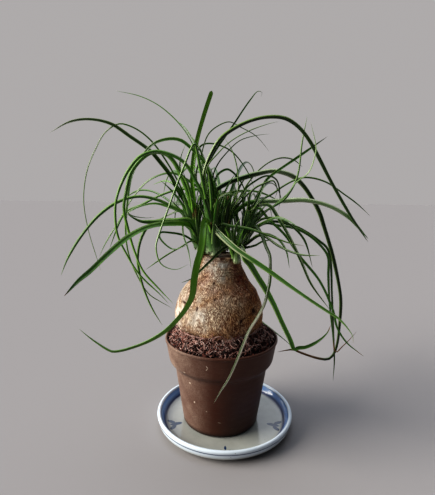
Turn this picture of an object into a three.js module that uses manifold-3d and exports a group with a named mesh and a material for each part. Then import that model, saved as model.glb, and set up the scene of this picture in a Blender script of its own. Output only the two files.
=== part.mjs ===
// A potted ponytail palm on its saucer. Millimetres, +Z up, the viewer on the -Y side.
// The origin is the centre of the saucer's flat underside, on the surface it stands on.

import * as THREE from 'three';
import { mergeVertices } from 'three/addons/utils/BufferGeometryUtils.js';
import Module from 'manifold-3d';

const wasm = await Module();
wasm.setup();

// Saucer: a shallow glazed dish with a thick round lip. Its outside below the lip and its inside
// below the lip are radius and height pairs.
const saucerRadius = 73.8;
const saucerHeight = 15.2;
const saucerLip = 4.0;
const saucerLipArc = [-25, 190];
const saucerFloor = 5.0;
const saucerOutside = [[64.4, 0], [67.2, 1.3], [72.0, 6.0]];
const saucerInside = [[68.2, 9.4], [64.9, 6.1], [61.5, saucerFloor]];
const saucerSides = 56;

// Pot: a thin moulded nursery pot with a deep collar and low feet between arches. Its rim, outside
// and inside, is radius and height pairs.
const potX = -4.5;
const potWall = 1.5;
const potBaseRadius = 40.6;
const potBaseCorner = 3.2;
const potStepRadius = 49.8;
const potStepHeight = 70.0;
const potCollarRadius = 55.4;
const potCollarHeight = 75.0;
const potRimRadius = 60.0;
const potRimHeight = 99.4;
const potRimUnder = [59.1, 96.4];
const potRim = [potRimUnder, [60.0, 97.0], [60.0, 98.9], [59.4, 99.4], [58.4, 99.4], [57.6, 96.8]];
const potSides = 44;
const footArches = 6;
const footArchWidth = 19.0;
const footArchHeight = 1.6;
const footArchReach = 34.9;
const drainRadius = 3.0;
const drainReach = 27.6;
const potFloor = saucerFloor + footArchHeight + potWall;

// Soil: fills the pot, heaped against the trunk. The waves of its rough top are turns round the pot
// and radians per millimetre outwards.
const seatGap = 0.3;
const soilGap = 0.4;
const soilEdgeHeight = 95.6;
const soilHeap = 16.5;
const soilHeapReach = [38, 58];
const soilRoughness = 0.7;
const soilWaves = [[7, 0.9], [2, 0.55]];
const soilRings = 6;
const soilInnerShare = 0.62;
const soilSides = 36;

// Trunk: height, radius and sideways shift of its outline, from the buried tip to the cut top.
const trunkOutline = [
  [62, 0, -5.5],
  [64, 7, -5.5],
  [70, 14, -5.5],
  [79, 20, -5.5],
  [88, 26, -5.5],
  [96, 31, -5.6],
  [101, 35.2, -5.8],
  [105, 39.6, -6.1],
  [111, 44, -7.2],
  [118, 46.3, -7.6],
  [125, 46.8, -7.6],
  [132, 45.7, -7.6],
  [138, 44.2, -7.5],
  [144, 42, -7.5],
  [150, 39.2, -7.5],
  [156, 34.4, -7.3],
  [162, 29.4, -6.7],
  [168, 25.6, -6.0],
  [174, 22.8, -6.0],
  [180, 21.4, -6.0],
  [185, 21.2, -6.0],
  [187, 19.6, -6.0],
];
const trunkTop = 187.0;
const trunkSides = 36;
const trunkHoleTop = 118;

// The open part of the trunk is flatter front to back, with one crease in front and low swellings:
// the height, waves round the trunk and radians per millimetre upwards of each. It starts above the
// soil, and the swellings fade out under the neck.
const trunkDepth = 0.95;
const trunkOpen = [98, 112];
const trunkNeck = [160, 182];
const creaseAngle = -126;
const creaseWidth = 11;
const creaseDepth = 1.8;
const swellings = [[0.7, 3, 0.05], [0.5, 5, -0.09]];

// The eye that the leaf routes are drawn from. A route is drawn on the upright plane through the
// origin, and each of its points then slides along the line of sight to its own depth.
const eye = new THREE.Vector3(-9.8, -390, 256);

// Leaves: spacing and number of their cross sections, how far the keel stands under the flat side,
// how late the blade tapers, and how far it is twisted about itself, in degrees.
const leafStep = 27;
const leafSteps = [4, 14];
const leafKeel = [0.7, 1.0];
const leafTaper = 1.8;
const leafTwist = [38, 60];

// Where a leaf starts: this far below its first free point, within these shares of its column.
const rootDrop = 16;
const rootShares = [0.14, 0.9];

// Bending clear: room between leaves of different heads, rounds, the share of a push that a point
// and each of its neighbours takes, and how much further a leaf moves along the line of sight.
const clearance = 0.9;
const bendRounds = 60;
const pushShares = [0.7, 0.25];
const pushDepth = 3;
const pushExtra = 0.05;
const potMargin = 3;

// Heads of leaves: base and top of the short column of leaf sheaths, with its two radii.
const heads = {
  head_left: { base: [-25, 2, 187.3], top: [-37, 1, 229], radii: [6.2, 3.6] },
  head_front: { base: [-13, -12.5, 187.3], top: [-16, -13.5, 227], radii: [6.4, 3.8] },
  head_small: { base: [8.6, -19.3, 181], top: [8.6, -22, 205], radii: [3.4, 2.6] },
  head_right: { base: [9.5, 5.5, 187.3], top: [23, 8, 219], radii: [6.2, 3.8] },
  head_back: { base: [-4.5, 14.5, 187.3], top: [-2, 16, 232], radii: [6.0, 3.6] },
};

// Leaf routes: width at the root, width at the tip, depth of the tip towards the eye, then the
// points that the leaf runs through, across and up on the plane, with a depth of their own where
// a third number is given.
const routes = {
  head_left: [
    [4.2, 1.6, -30, [-41, 237], [-49, 250], [-58, 267], [-68, 280], [-78, 291], [-98, 305],
      [-117, 317], [-139, 321], [-158, 318], [-177, 308]],
    [4.0, 1.3, 28, [-40, 248], [-45, 261], [-54, 280], [-62, 288], [-70, 290], [-78, 289], [-88, 282],
      [-98, 269], [-103, 251], [-106, 234], [-102, 211], [-97, 192], [-88, 169], [-72, 150], [-56, 133]],
    [2.2, 1.2, -45, [-46, 252], [-53, 266], [-68, 290], [-78, 302], [-88, 310], [-98, 315], [-107, 317],
      [-114, 315], [-124, 307], [-133, 292], [-142, 272], [-147, 242], [-144, 213], [-136, 182], [-132, 168]],
    [3.4, 1.4, 12, [-40, 227], [-59, 237], [-69, 242], [-89, 246], [-110, 241], [-131, 227], [-152, 203],
      [-166, 181], [-174, 163]],
    [2.4, 1.3, -20, [-40, 226], [-51, 232], [-61, 236], [-74, 239], [-89, 236], [-102, 229], [-98, 226],
      [-84, 224], [-74, 225]],
    [5.4, 2.2, 28, [-38, 221], [-59, 221], [-79, 220], [-90, 221], [-103, 228]],
    [2.2, 1.2, -28, [-38, 233], [-49, 232], [-64, 226], [-75, 220]],
    [2.0, 1.2, -45, [-38, 237], [-46, 238], [-64, 239]],
    [5.6, 2.6, 105, [-38, 217], [-59, 219], [-79, 216], [-100, 206], [-122, 188], [-143, 168], [-156, 157],
      [-172, 140]],
    [2.6, 1.2, 22, [-49, 221], [-68, 222], [-79, 218], [-88, 205], [-93, 182], [-90, 159], [-83, 137],
      [-77, 124], [-68, 109]],
    [2.4, 1.1, 40, [-38, 203], [-46, 207], [-57, 209], [-69, 209], [-70, 205], [-63, 196], [-55, 192],
      [-40, 197]],
    [2.2, 1.0, 70, [-36, 201], [-49, 194], [-64, 185], [-86, 169]],
    [2.0, 1.1, 34, [-36, 212], [-45, 218], [-45, 206], [-41, 194], [-38, 178], [-37, 170]],
    [4.2, 3.9, -12, [-34, 238], [-36, 261], [-35, 283], [-31, 304], [-25, 325], [-17, 349]],
    [2.2, 1.2, -18, [-42, 253], [-48, 271], [-48, 283], [-43, 298]],
    [2.0, 1.1, -40, [-35, 262], [-33, 285], [-27, 297], [-16, 299], [3, 292], [20, 271], [27, 254]],
    [3.0, 1.6, -62, [-42, 240], [-54, 258], [-64, 262], [-76, 258]],
    [3.2, 1.2, 14, [-36, 240], [-42, 262], [-54, 276]],
  ],
  head_front: [
    [3.4, 1.3, 18, [-16, 221], [-22, 242], [-32, 261], [-44, 280], [-58, 288], [-73, 291], [-88, 286],
      [-99, 274], [-108, 258], [-114, 240], [-115, 222], [-113, 205], [-105, 187], [-92, 165], [-70, 143],
      [-61, 133]],
    [4.0, 1.8, -36, [-15, 230], [-15, 248], [-17, 265], [-25, 282], [-38, 295], [-48, 302], [-60, 303],
      [-75, 298], [-87, 285], [-97, 267], [-102, 242], [-105, 211], [-103, 188], [-95, 165], [-82, 143],
      [-70, 135], [-57, 128]],
    [2.4, 1.1, 74, [-23, 248], [-29, 278], [-34, 299], [-38, 293], [-42, 283], [-53, 255], [-63, 228],
      [-71, 206], [-74, 194], [-69, 176], [-54, 170], [-40, 176]],
    [2.0, 1.0, -34, [-23, 263], [-29, 285], [-36, 301], [-48, 317], [-68, 334], [-87, 343], [-111, 348]],
    [2.0, 1.0, -22, [-32, 265], [-27, 288], [-20, 308], [-9, 317], [1, 320], [12, 315], [27, 307],
      [41, 292]],
    [5.2, 2.4, -16, [-25, 253], [-24, 271], [-18, 288], [-8, 304], [11, 317], [31, 324], [50, 325],
      [60, 322], [71, 314], [81, 302], [92, 284], [103, 265], [126, 229], [134, 218], [146, 202]],
    [2.2, 1.2, -40, [-24, 265], [-20, 279], [-11, 295], [3, 315], [20, 340], [28, 349], [32, 348],
      [31, 344]],
    [2.0, 1.1, 8, [-22, 273], [-10, 290], [3, 302], [21, 312], [41, 319], [50, 321]],
    [2.0, 1.1, -8, [-16, 263], [-11, 278], [-1, 291], [11, 302], [26, 307], [41, 309]],
    [7.2, 1.8, 58, [-18, 219], [-22, 223], [-24, 217, 34], [-25, 205, 44], [-27, 191, 52], [-31, 176, 60],
      [-34, 159, 64], [-36, 142, 66], [-44, 126, 66], [-54, 113, 64], [-65, 102], [-82, 91], [-98, 84],
      [-114, 79], [-123, 78], [-128, 80], [-146, 93], [-158, 104]],
    [6.0, 1.4, 110, [-14, 217], [-9, 211, 26], [5, 199, 36], [22, 186, 45], [46, 169], [67, 154], [89, 139],
      [109, 126], [120, 119], [130, 109], [137, 99], [138, 91]],
    [3.4, 1.6, 48, [-6, 218], [3, 217], [23, 214], [39, 209], [65, 200], [80, 197]],
    [3.0, 1.4, 30, [-14, 236], [-8, 246], [2, 250], [12, 244]],
  ],
  head_small: [
    [2.8, 1.4, 44, [5, 196], [-5, 192], [-15, 182, 34], [-28, 169], [-36, 161], [-48, 156]],
    [3.6, 1.6, 36, [4, 192], [1, 202], [-3, 214]],
    [3.6, 1.6, 38, [11, 192], [13, 202], [17, 214]],
    [3.8, 1.1, 48, [10, 197], [14, 194], [19, 183, 40], [24, 177], [33, 163], [42, 149], [51, 133],
      [60, 114], [70, 94], [75, 83], [79, 85], [87, 86], [100, 93], [109, 102], [113, 112]],
    [2.8, 1.4, 52, [8, 204], [9, 216], [14, 226]],
  ],
  head_right: [
    [2.8, 1.4, -25, [20, 221], [30, 244], [39, 264], [47, 271], [67, 285], [84, 297], [98, 307]],
    [2.6, 1.3, -10, [28, 225], [43, 235], [57, 244], [63, 252], [68, 262], [71, 274], [73, 301], [77, 326]],
    [2.4, 1.2, 16, [35, 230], [48, 239], [61, 251], [69, 262], [81, 272], [87, 291], [87, 298], [81, 320]],
    [2.4, 1.2, -45, [27, 235], [35, 244], [45, 250], [56, 258], [67, 264], [78, 267], [98, 263], [119, 250],
      [132, 241], [146, 229]],
    [2.2, 1.1, -22, [16, 251, -10], [28, 263], [40, 268], [49, 264], [53, 248], [52, 233]],
    [2.4, 1.2, 6, [24, 252], [38, 261], [46, 263], [50, 254], [48, 245]],
    [3.4, 1.8, 52, [31, 217], [44, 224], [52, 226], [66, 221], [72, 217]],
    [3.0, 1.2, 12, [39, 220], [52, 218], [67, 216], [78, 212], [89, 205], [102, 192], [106, 184],
      [107, 166], [110, 136], [115, 106], [120, 81], [126, 87], [136, 98], [141, 105]],
    [3.0, 1.3, -18, [36, 220], [49, 222], [70, 217], [84, 210], [96, 202], [104, 195], [108, 184],
      [112, 145], [117, 94], [119, 72], [119, 47]],
    [2.8, 1.3, 34, [31, 236], [42, 225], [60, 208], [76, 186], [98, 160], [114, 128], [120, 108],
      [131, 92], [143, 82], [151, 76]],
    [3.0, 1.2, 66, [23, 231], [31, 238], [37, 239], [43, 238], [52, 226], [65, 205], [78, 180], [89, 157],
      [111, 128]],
    [2.6, 1.6, 22, [35, 224], [52, 225], [67, 217], [80, 203], [90, 174]],
    [2.4, 1.4, 44, [36, 209], [51, 205], [61, 193], [66, 173]],
    [3.4, 1.2, 85, [21, 199], [32, 207], [38, 207], [55, 196], [76, 188], [97, 187]],
    [2.8, 1.6, 24, [29, 197], [36, 201], [46, 203]],
    [4.2, 1.5, 68, [28, 217, 10], [36, 207, 24], [41, 195, 36], [45, 186, 44], [46, 175, 50], [46, 160, 56],
      [44, 147, 60], [41, 134, 63], [34, 119, 67], [26, 105, 69], [19, 87, 70], [13, 70, 70], [4, 48, 70],
      [-4, 34, 69], [-12, 19]],
    [5.0, 2.4, -4, [22, 222], [22, 237], [20, 248]],
    [3.2, 1.4, 8, [25, 226], [31, 240], [38, 246]],
  ],
  head_back: [
    [2.2, 1.2, -62, [-11, 250], [-28, 255], [-46, 266], [-58, 270], [-79, 263], [-96, 246], [-112, 220],
      [-127, 196], [-133, 183]],
    [2.4, 1.2, -50, [-20, 250], [-31, 254], [-51, 253], [-69, 247], [-89, 237], [-103, 231], [-110, 221],
      [-122, 192]],
    [2.0, 1.1, -28, [10, 253], [10, 264], [8, 278], [3, 293], [-4, 304]],
    [2.8, 1.4, -26, [-14, 253], [-12, 265], [-9, 270], [-1, 274], [5, 271], [13, 262], [17, 254], [22, 242]],
    [4.2, 1.5, -8, [-14, 250], [-3, 259], [19, 267], [34, 271], [47, 273], [65, 268], [76, 259, -56],
      [87, 244], [94, 232], [99, 219], [110, 188, -50], [120, 150], [122, 136], [122, 108], [121, 91, -34],
      [118, 79], [113, 73], [103, 73], [81, 80], [74, 83], [65, 82], [56, 80]],
    [4.0, 2.2, -42, [-6, 245], [5, 251], [22, 253], [35, 251], [53, 243]],
    [4.0, 2.2, -34, [8, 231], [19, 240], [31, 242], [56, 243], [79, 244], [105, 238], [126, 226],
      [133, 219], [146, 205]],
    [2.4, 1.2, -12, [2, 240, -28], [6, 218, -48], [8, 190, -60], [14, 160, -64], [24, 136, -64],
      [34, 119, -58], [48, 107, -42], [64, 94, -20], [75, 84]],
  ],
};

// Leaves that no single sight line shows: those behind, and the short young ones of each crown.
// Count, heading and its spread in degrees (90 is straight back), length, width, rise in degrees.
const unseen = {
  head_left: [[2, 122, 14, 150, 3.2, 46], [3, 112, 12, 215, 3.4, 46], [6, 180, 150, 62, 3.0, 70]],
  head_front: [[2, 118, 20, 130, 3.0, 78], [6, 250, 160, 60, 3.2, 70]],
  head_small: [[4, 280, 120, 34, 2.6, 74]],
  head_right: [[2, 72, 14, 150, 3.2, 46], [3, 76, 12, 215, 3.4, 46], [6, 20, 150, 58, 3.0, 68]],
  head_back: [[8, 92, 22, 255, 3.8, 46], [4, 90, 50, 165, 3.4, 46], [6, 90, 170, 62, 3.0, 70]],
};
const unseenDroop = 1.55;
const unseenSteps = 8;
const unseenSteepest = -80;
const unseenTip = 0.45;
const seed = 20317;

const degrees = Math.PI / 180;
const group = new THREE.Group();

// A closed three.js geometry as a solid, with its seams and poles merged.
function toSolid(geometry) {
  const bare = geometry.clone();
  bare.deleteAttribute('normal');
  bare.deleteAttribute('uv');
  const merged = mergeVertices(bare, 1e-4);
  const corners = merged.index.array;
  const triangles = [];
  for (let i = 0; i < corners.length; i += 3) {
    const [a, b, c] = corners.slice(i, i + 3);
    if (a !== b && b !== c && c !== a) triangles.push(a, b, c);
  }
  return new wasm.Manifold(new wasm.Mesh({
    numProp: 3,
    vertProperties: merged.attributes.position.array,
    triVerts: new Uint32Array(triangles),
  }));
}

// A solid as a named mesh with its own material.
function addPiece(name, solid, colour, roughness) {
  const { vertProperties, triVerts } = solid.getMesh();
  const geometry = new THREE.BufferGeometry();
  geometry.setAttribute('position', new THREE.BufferAttribute(vertProperties, 3));
  geometry.setIndex(new THREE.BufferAttribute(triVerts, 1));
  geometry.computeVertexNormals();
  const material = new THREE.MeshStandardMaterial({ color: colour, roughness });
  const mesh = new THREE.Mesh(geometry, material);
  mesh.name = name;
  group.add(mesh);
}

// The largest of the bodies that a join or a cut leaves.
function mainBody(solid) {
  return solid.decompose().reduce((best, body) => (body.volume() > best.volume() ? body : best));
}

// A profile of radius and height pairs turned about an upright axis at x.
function turned(profile, sides, x = 0) {
  const points = profile.map(([radius, height]) => new THREE.Vector2(radius, height));
  return toSolid(new THREE.LatheGeometry(points, sides).rotateX(Math.PI / 2).translate(x, 0, 0));
}

// Points of an arc in a profile, from one angle to another in degrees.
function arc(centreRadius, centreHeight, radius, from, to, steps) {
  return Array.from({ length: steps + 1 }, (_, i) => {
    const angle = (from + ((to - from) * i) / steps) * degrees;
    return [centreRadius + radius * Math.cos(angle), centreHeight + radius * Math.sin(angle)];
  });
}

// Rings of points, each with as many sides, closed by a fan at both ends.
function ringed(rings, low, high) {
  const sides = rings[0].length;
  const vertices = [low, ...rings.flat(), high];
  const last = vertices.length - 1;
  const index = [];
  for (let side = 0; side < sides; side += 1) {
    const next = (side + 1) % sides;
    index.push(0, 1 + next, 1 + side);
    for (let ring = 0; ring < rings.length - 1; ring += 1) {
      const a = 1 + ring * sides;
      const b = a + sides;
      index.push(a + side, a + next, b + next, a + side, b + next, b + side);
    }
    const top = 1 + (rings.length - 1) * sides;
    index.push(last, top + side, top + next);
  }
  const geometry = new THREE.BufferGeometry().setFromPoints(vertices);
  geometry.setIndex(index);
  return toSolid(geometry);
}

// Saucer: the underside, the flared wall, the round lip, and the inner wall down to the floor.
function saucer() {
  const lipRadius = saucerLip / 2;
  const lip = arc(saucerRadius - lipRadius, saucerHeight - lipRadius, lipRadius, ...saucerLipArc, 6);
  const profile = [[0, 0], ...saucerOutside, ...lip, ...saucerInside, [0, saucerFloor]];
  return turned(profile, saucerSides);
}

// Pot: turned wall with its collar and rim, arches cut between the feet, and drain holes.
function pot() {
  const corner = potBaseCorner;
  let solid = turned([
    [0, saucerFloor],
    ...arc(potBaseRadius - corner, saucerFloor + corner, corner, -90, -10, 3),
    [potStepRadius, potStepHeight],
    [potCollarRadius, potCollarHeight],
    ...potRim,
    [potCollarRadius - potWall, potCollarHeight],
    [potStepRadius - potWall, potStepHeight - potWall],
    [potBaseRadius - potWall, potFloor + potWall],
    [potBaseRadius - 2 * potWall, potFloor],
    [0, potFloor],
  ], potSides, potX);
  for (let i = 0; i < footArches; i += 1) {
    const turn = (i / footArches) * 360 - 90;
    const arch = new THREE.BoxGeometry(potBaseRadius, footArchWidth, 2 * footArchHeight)
      .translate(footArchReach, 0, saucerFloor)
      .rotateZ(turn * degrees)
      .translate(potX, 0, 0);
    const drain = new THREE.CylinderGeometry(drainRadius, drainRadius, 8 * potWall, 10)
      .rotateX(Math.PI / 2)
      .translate(drainReach, 0, saucerFloor)
      .rotateZ(turn * degrees)
      .translate(potX, 0, 0);
    solid = solid.subtract(toSolid(arch)).subtract(toSolid(drain));
  }
  return solid;
}

// Radius and sideways shift of the trunk at a height, on a smooth curve through its outline.
const outlinePoints = trunkOutline.map(([height, radius, shift]) =>
  new THREE.Vector3(radius, shift, height));
const outlineCurve = new THREE.CatmullRomCurve3(outlinePoints, false, 'centripetal');
function trunkAt(height) {
  let low = 0;
  let high = 1;
  for (let i = 0; i < 30; i += 1) {
    const middle = (low + high) / 2;
    if (outlineCurve.getPoint(middle).z < height) low = middle;
    else high = middle;
  }
  const { x: radius, y: shift } = outlineCurve.getPoint(low);
  return { radius, shift };
}

// Trunk surface: its outline, flatter front to back, with low swellings and one crease in front.
// The buried part is plainly round, so that it stands in a plain hole.
function trunkPoint(height, angle, grow = 0) {
  const { radius, shift } = trunkAt(height);
  const open = THREE.MathUtils.smoothstep(height, ...trunkOpen);
  const belly = open * (1 - THREE.MathUtils.smoothstep(height, ...trunkNeck));
  const off = Math.abs(((angle / degrees - creaseAngle + 540) % 360) - 180) / creaseWidth;
  const crease = -creaseDepth * Math.exp(-off * off);
  const swell = swellings.reduce((sum, [size, waves, climb]) =>
    sum + size * Math.sin(waves * angle + height * climb), 0);
  const depth = 1 - (1 - trunkDepth) * open;
  const r = radius + grow + belly * (crease + swell * Math.abs(Math.sin(angle)));
  return new THREE.Vector3(shift + r * Math.cos(angle), depth * r * Math.sin(angle), height);
}

// One ring of the trunk's surface.
function trunkRing(height, grow = 0) {
  return Array.from({ length: trunkSides }, (_, i) =>
    trunkPoint(height, (i / trunkSides) * 2 * Math.PI, grow));
}

// Trunk: rings of its surface, closed by the buried tip and the flat cut top.
function trunk() {
  const rings = trunkOutline.slice(1).map(([height]) => trunkRing(height));
  const [lowest, , lowShift] = trunkOutline[0];
  const [, , highShift] = trunkOutline.at(-1);
  const tip = new THREE.Vector3(lowShift, 0, lowest);
  return ringed(rings, tip, new THREE.Vector3(highShift, 0, trunkTop));
}

// Height of the soil at a point: an even level at the wall, heaped towards the trunk.
function soilHeight(x, y) {
  const out = Math.hypot(x - potX, y);
  const angle = Math.atan2(y, x - potX);
  const near = 1 - THREE.MathUtils.smoothstep(out, ...soilHeapReach);
  const rough = soilWaves.reduce((product, [turns, outwards]) =>
    product * Math.sin(turns * angle + outwards * out), 1);
  return soilEdgeHeight + near * soilHeap + soilRoughness * rough;
}

// Soil: the inside of the pot, with a plain hole that the trunk stands in.
function soil() {
  const floor = potFloor + seatGap;
  const wall = potWall + soilGap;
  const [underRadius, underHeight] = potRimUnder;
  const rise = (soilEdgeHeight - potCollarHeight) / (underHeight - potCollarHeight);
  const edge = potCollarRadius - wall + rise * (underRadius - potCollarRadius);
  const ring = (radius, heightAt) => Array.from({ length: soilSides }, (_, i) => {
    const angle = (i / soilSides) * 2 * Math.PI;
    const x = potX + radius * Math.cos(angle);
    const y = radius * Math.sin(angle);
    return new THREE.Vector3(x, y, heightAt(x, y));
  });
  const rings = [
    ring(potBaseRadius - wall - potWall - 0.1, () => floor),
    ring(potBaseRadius - wall - 0.1, () => floor + potWall + 0.1),
    ring(potStepRadius - wall - 0.2, () => potStepHeight - potWall - 0.4),
    ring(potCollarRadius - wall, () => potCollarHeight + 0.2),
  ];
  for (let i = 0; i < soilRings; i += 1) {
    rings.push(ring(edge * (1 - (i / soilRings) * soilInnerShare), soilHeight));
  }
  const bottom = new THREE.Vector3(potX, 0, floor);
  const solid = ringed(rings, bottom, new THREE.Vector3(potX, 0, soilHeight(potX, 0)));
  const [[lowest, , shift], ...open] = trunkOutline;
  const holeRings = open.filter(([height]) => height <= trunkHoleTop).map(([height]) =>
    trunkRing(height, soilGap));
  const tip = new THREE.Vector3(shift, 0, lowest - 2 * seatGap);
  const hole = ringed(holeRings, tip, new THREE.Vector3(shift, 0, trunkHoleTop + 7));
  return solid.subtract(hole);
}

// Column of leaf sheaths that a head's leaves grow from, with level ends.
function headCore({ base, top, radii }) {
  const height = top[2] - base[2];
  const [low, high] = radii;
  const lean = new THREE.Matrix4().set(
    1, 0, (top[0] - base[0]) / height, base[0],
    0, 1, (top[1] - base[1]) / height, base[1],
    0, 0, 1, base[2],
    0, 0, 0, 1,
  );
  return toSolid(new THREE.CylinderGeometry(high, low, height, 9, 2)
    .rotateX(Math.PI / 2).translate(0, 0, height / 2).applyMatrix4(lean));
}

// A point drawn on the plane, slid along the line of sight to its depth towards the eye.
function towards(across, up, depth) {
  const point = new THREE.Vector3(across, 0, up);
  return point.sub(eye).multiplyScalar(1 + depth / eye.y).add(eye);
}

// The point of a head's axis that a leaf starts from, a little below its first free point.
function rootPoint({ base, top }, firstHeight) {
  const share = (firstHeight - rootDrop - base[2]) / (top[2] - base[2]);
  const kept = THREE.MathUtils.clamp(share, ...rootShares);
  return new THREE.Vector3(...base).lerp(new THREE.Vector3(...top), kept);
}

// Depths along a route: known at the root, at the tip and where given, and even between.
function drawnLeaf(head, [width, tipWidth, tipDepth, ...points]) {
  const rootDepth = -(head.base[1] + head.top[1]) / 2;
  const start = rootPoint(head, towards(...points[0], rootDepth).z);
  const run = [0];
  points.forEach(([across, up], i) => {
    const [lastAcross, lastUp] = i ? points[i - 1] : [start.x, start.z];
    run.push(run[i] + Math.hypot(across - lastAcross, up - lastUp));
  });
  const known = [[0, rootDepth]];
  points.forEach((point, i) => {
    if (point.length > 2) known.push([run[i + 1], point[2]]);
  });
  if (points.at(-1).length < 3) known.push([run.at(-1), tipDepth]);
  const placed = points.map(([across, up], i) => {
    const at = run[i + 1];
    const next = Math.max(1, known.findIndex(([distance]) => distance >= at - 1e-9));
    const [from, fromDepth] = known[next - 1];
    const [to, toDepth] = known[next];
    return towards(across, up, fromDepth + ((toDepth - fromDepth) * (at - from)) / (to - from));
  });
  return { width, tipWidth, path: [start, ...placed] };
}

// Seeded draws between 0 and 1.
let drawState = seed;
function draw() {
  drawState = (Math.imul(drawState, 1664525) + 1013904223) >>> 0;
  return drawState / 4294967296;
}

// An unseen leaf: it leaves its head at its rise and bends down evenly along its length.
function bentLeaf(head, [, heading, spread, length, width, rise]) {
  const way = (heading + spread * (2 * draw() - 1)) * degrees;
  const long = length * (0.8 + 0.4 * draw());
  const firstRise = (rise + 12 * (2 * draw() - 1)) * degrees;
  const droop = unseenDroop * (long / 150) * (0.8 + 0.4 * draw());
  const start = rootPoint(head, head.top[2] - 4 * draw());
  const path = [start];
  const step = long / unseenSteps;
  let slope = firstRise;
  for (let i = 0; i < unseenSteps; i += 1) {
    const last = path.at(-1);
    path.push(new THREE.Vector3(
      last.x + step * Math.cos(slope) * Math.cos(way),
      last.y + step * Math.cos(slope) * Math.sin(way),
      last.z + step * Math.sin(slope),
    ));
    slope -= (droop * (0.5 + i / unseenSteps)) / unseenSteps;
    slope = Math.max(slope, unseenSteepest * degrees);
  }
  return { width, tipWidth: unseenTip * width, path };
}

// Every leaf as evenly spaced points, with its half width at each.
function allLeaves() {
  const leaves = [];
  for (const [name, head] of Object.entries(heads)) {
    const drawn = routes[name].map((route) => drawnLeaf(head, route));
    const bent = unseen[name].flatMap((rule) =>
      Array.from({ length: rule[0] }, () => bentLeaf(head, rule)));
    for (const { width, tipWidth, path } of [...drawn, ...bent]) {
      const curve = new THREE.CatmullRomCurve3(path, false, 'centripetal');
      const steps = THREE.MathUtils.clamp(Math.round(curve.getLength() / leafStep), ...leafSteps);
      const points = curve.getSpacedPoints(steps);
      const halves = points.map((_, i) =>
        (tipWidth + (width - tipWidth) * (1 - (i / steps) ** leafTaper)) / 2);
      const turn = THREE.MathUtils.lerp(...leafTwist, draw()) * degrees;
      const twist = leaves.length % 2 ? turn : -turn;
      leaves.push({ name, points, halves, twist });
    }
  }
  return leaves;
}

// The two nearest points of two stretches, as shares of their lengths.
function nearest(a0, a1, b0, b1) {
  const a = a1.clone().sub(a0);
  const b = b1.clone().sub(b0);
  const r = a0.clone().sub(b0);
  const aa = a.lengthSq();
  const bb = b.lengthSq();
  const ab = a.dot(b);
  const ar = a.dot(r);
  const br = b.dot(r);
  const square = aa * bb - ab * ab;
  const share = (value) => THREE.MathUtils.clamp(value, 0, 1);
  let s = square > 1e-9 ? share((ab * br - ar * bb) / square) : 0.5;
  const t = share((ab * s + br) / bb);
  s = share((ab * t - ar) / aa);
  return [s, t];
}

// Length, middle and index of every stretch of a line of points.
function stretches({ points }) {
  return points.slice(1).map((end, i) => ({
    i,
    middle: end.clone().add(points[i]).multiplyScalar(0.5),
    half: end.distanceTo(points[i]) / 2,
  }));
}

// Radius that the trunk or the pot takes up at a height, and where its axis stands.
function keepOut(height) {
  const potTop = potRimHeight + potMargin;
  if (height > trunkTop) return null;
  if (height > potTop) return trunkAt(height);
  if (height > potCollarHeight - 2 * potMargin) return { radius: potRimRadius, shift: potX };
  const share = Math.max(0, (height - saucerFloor) / (potTop - saucerFloor));
  return { radius: THREE.MathUtils.lerp(potBaseRadius, potRimRadius, share), shift: potX };
}

// A point of a line between two of its points.
function between(points, i, share) {
  return points[i].clone().lerp(points[i + 1], share);
}

// Half width of a leaf between two of its points.
function halfAt(halves, i, share) {
  return THREE.MathUtils.lerp(halves[i], halves[i + 1], share);
}

// Leaves of different heads that would cross are bent clear, mostly along the line of sight,
// a little at a time. Roots, head columns, the trunk and its pot stay where they are.
function bendClear(leaves) {
  const cores = Object.entries(heads).map(([name, { base, top, radii }]) => ({
    name,
    points: [new THREE.Vector3(...base), new THREE.Vector3(...top)],
    halves: radii,
    fixed: true,
  }));
  const all = [...leaves, ...cores];
  let clashes = 1;
  for (let round = 0; round < bendRounds && clashes > 0; round += 1) {
    clashes = 0;
    const pushes = all.map(({ points }) => points.map(() => new THREE.Vector3()));
    const parts = all.map(stretches);
    for (let p = 0; p < all.length; p += 1) {
      for (let q = p + 1; q < all.length; q += 1) {
        const [one, two] = [all[p], all[q]];
        if (one.name === two.name || (one.fixed && two.fixed)) continue;
        for (const { i, middle: here, half: halfHere } of parts[p]) {
          for (const { i: j, middle: there, half: halfThere } of parts[q]) {
            if (here.distanceToSquared(there) > (halfHere + halfThere + 12) ** 2) continue;
            const [s, t] = nearest(one.points[i], one.points[i + 1], two.points[j], two.points[j + 1]);
            const apart = between(one.points, i, s).sub(between(two.points, j, t));
            const need = halfAt(one.halves, i, s) + halfAt(two.halves, j, t) + clearance;
            const distance = apart.length();
            if (distance >= need) continue;
            clashes += 1;
            apart.y = pushDepth * apart.y + (apart.y < 0 ? -1 : 1);
            apart.setLength((need - distance) / 2 + pushExtra);
            pushes[p][i].addScaledVector(apart, 1 - s);
            pushes[p][i + 1].addScaledVector(apart, s);
            pushes[q][j].addScaledVector(apart, t - 1);
            pushes[q][j + 1].addScaledVector(apart, -t);
          }
        }
      }
    }
    leaves.forEach(({ points, halves }, p) => {
      const pushed = pushes[p];
      const [own, shared] = pushShares;
      points.forEach((point, i) => {
        const free = Math.min(1, i / 2);
        point.addScaledVector(pushed[i], own * free);
        point.addScaledVector(pushed[Math.max(0, i - 1)], shared * free);
        point.addScaledVector(pushed[Math.min(points.length - 1, i + 1)], shared * free);
        const solid = i > 1 && keepOut(point.z);
        if (!solid) return;
        const out = Math.hypot(point.x - solid.shift, point.y);
        const short = solid.radius + halves[i] + 2 * clearance - out;
        if (short <= 0) return;
        point.x += (0.5 * short * (point.x - solid.shift)) / out;
        point.y += (0.5 * short * point.y) / out;
      });
    });
  }
}

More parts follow.
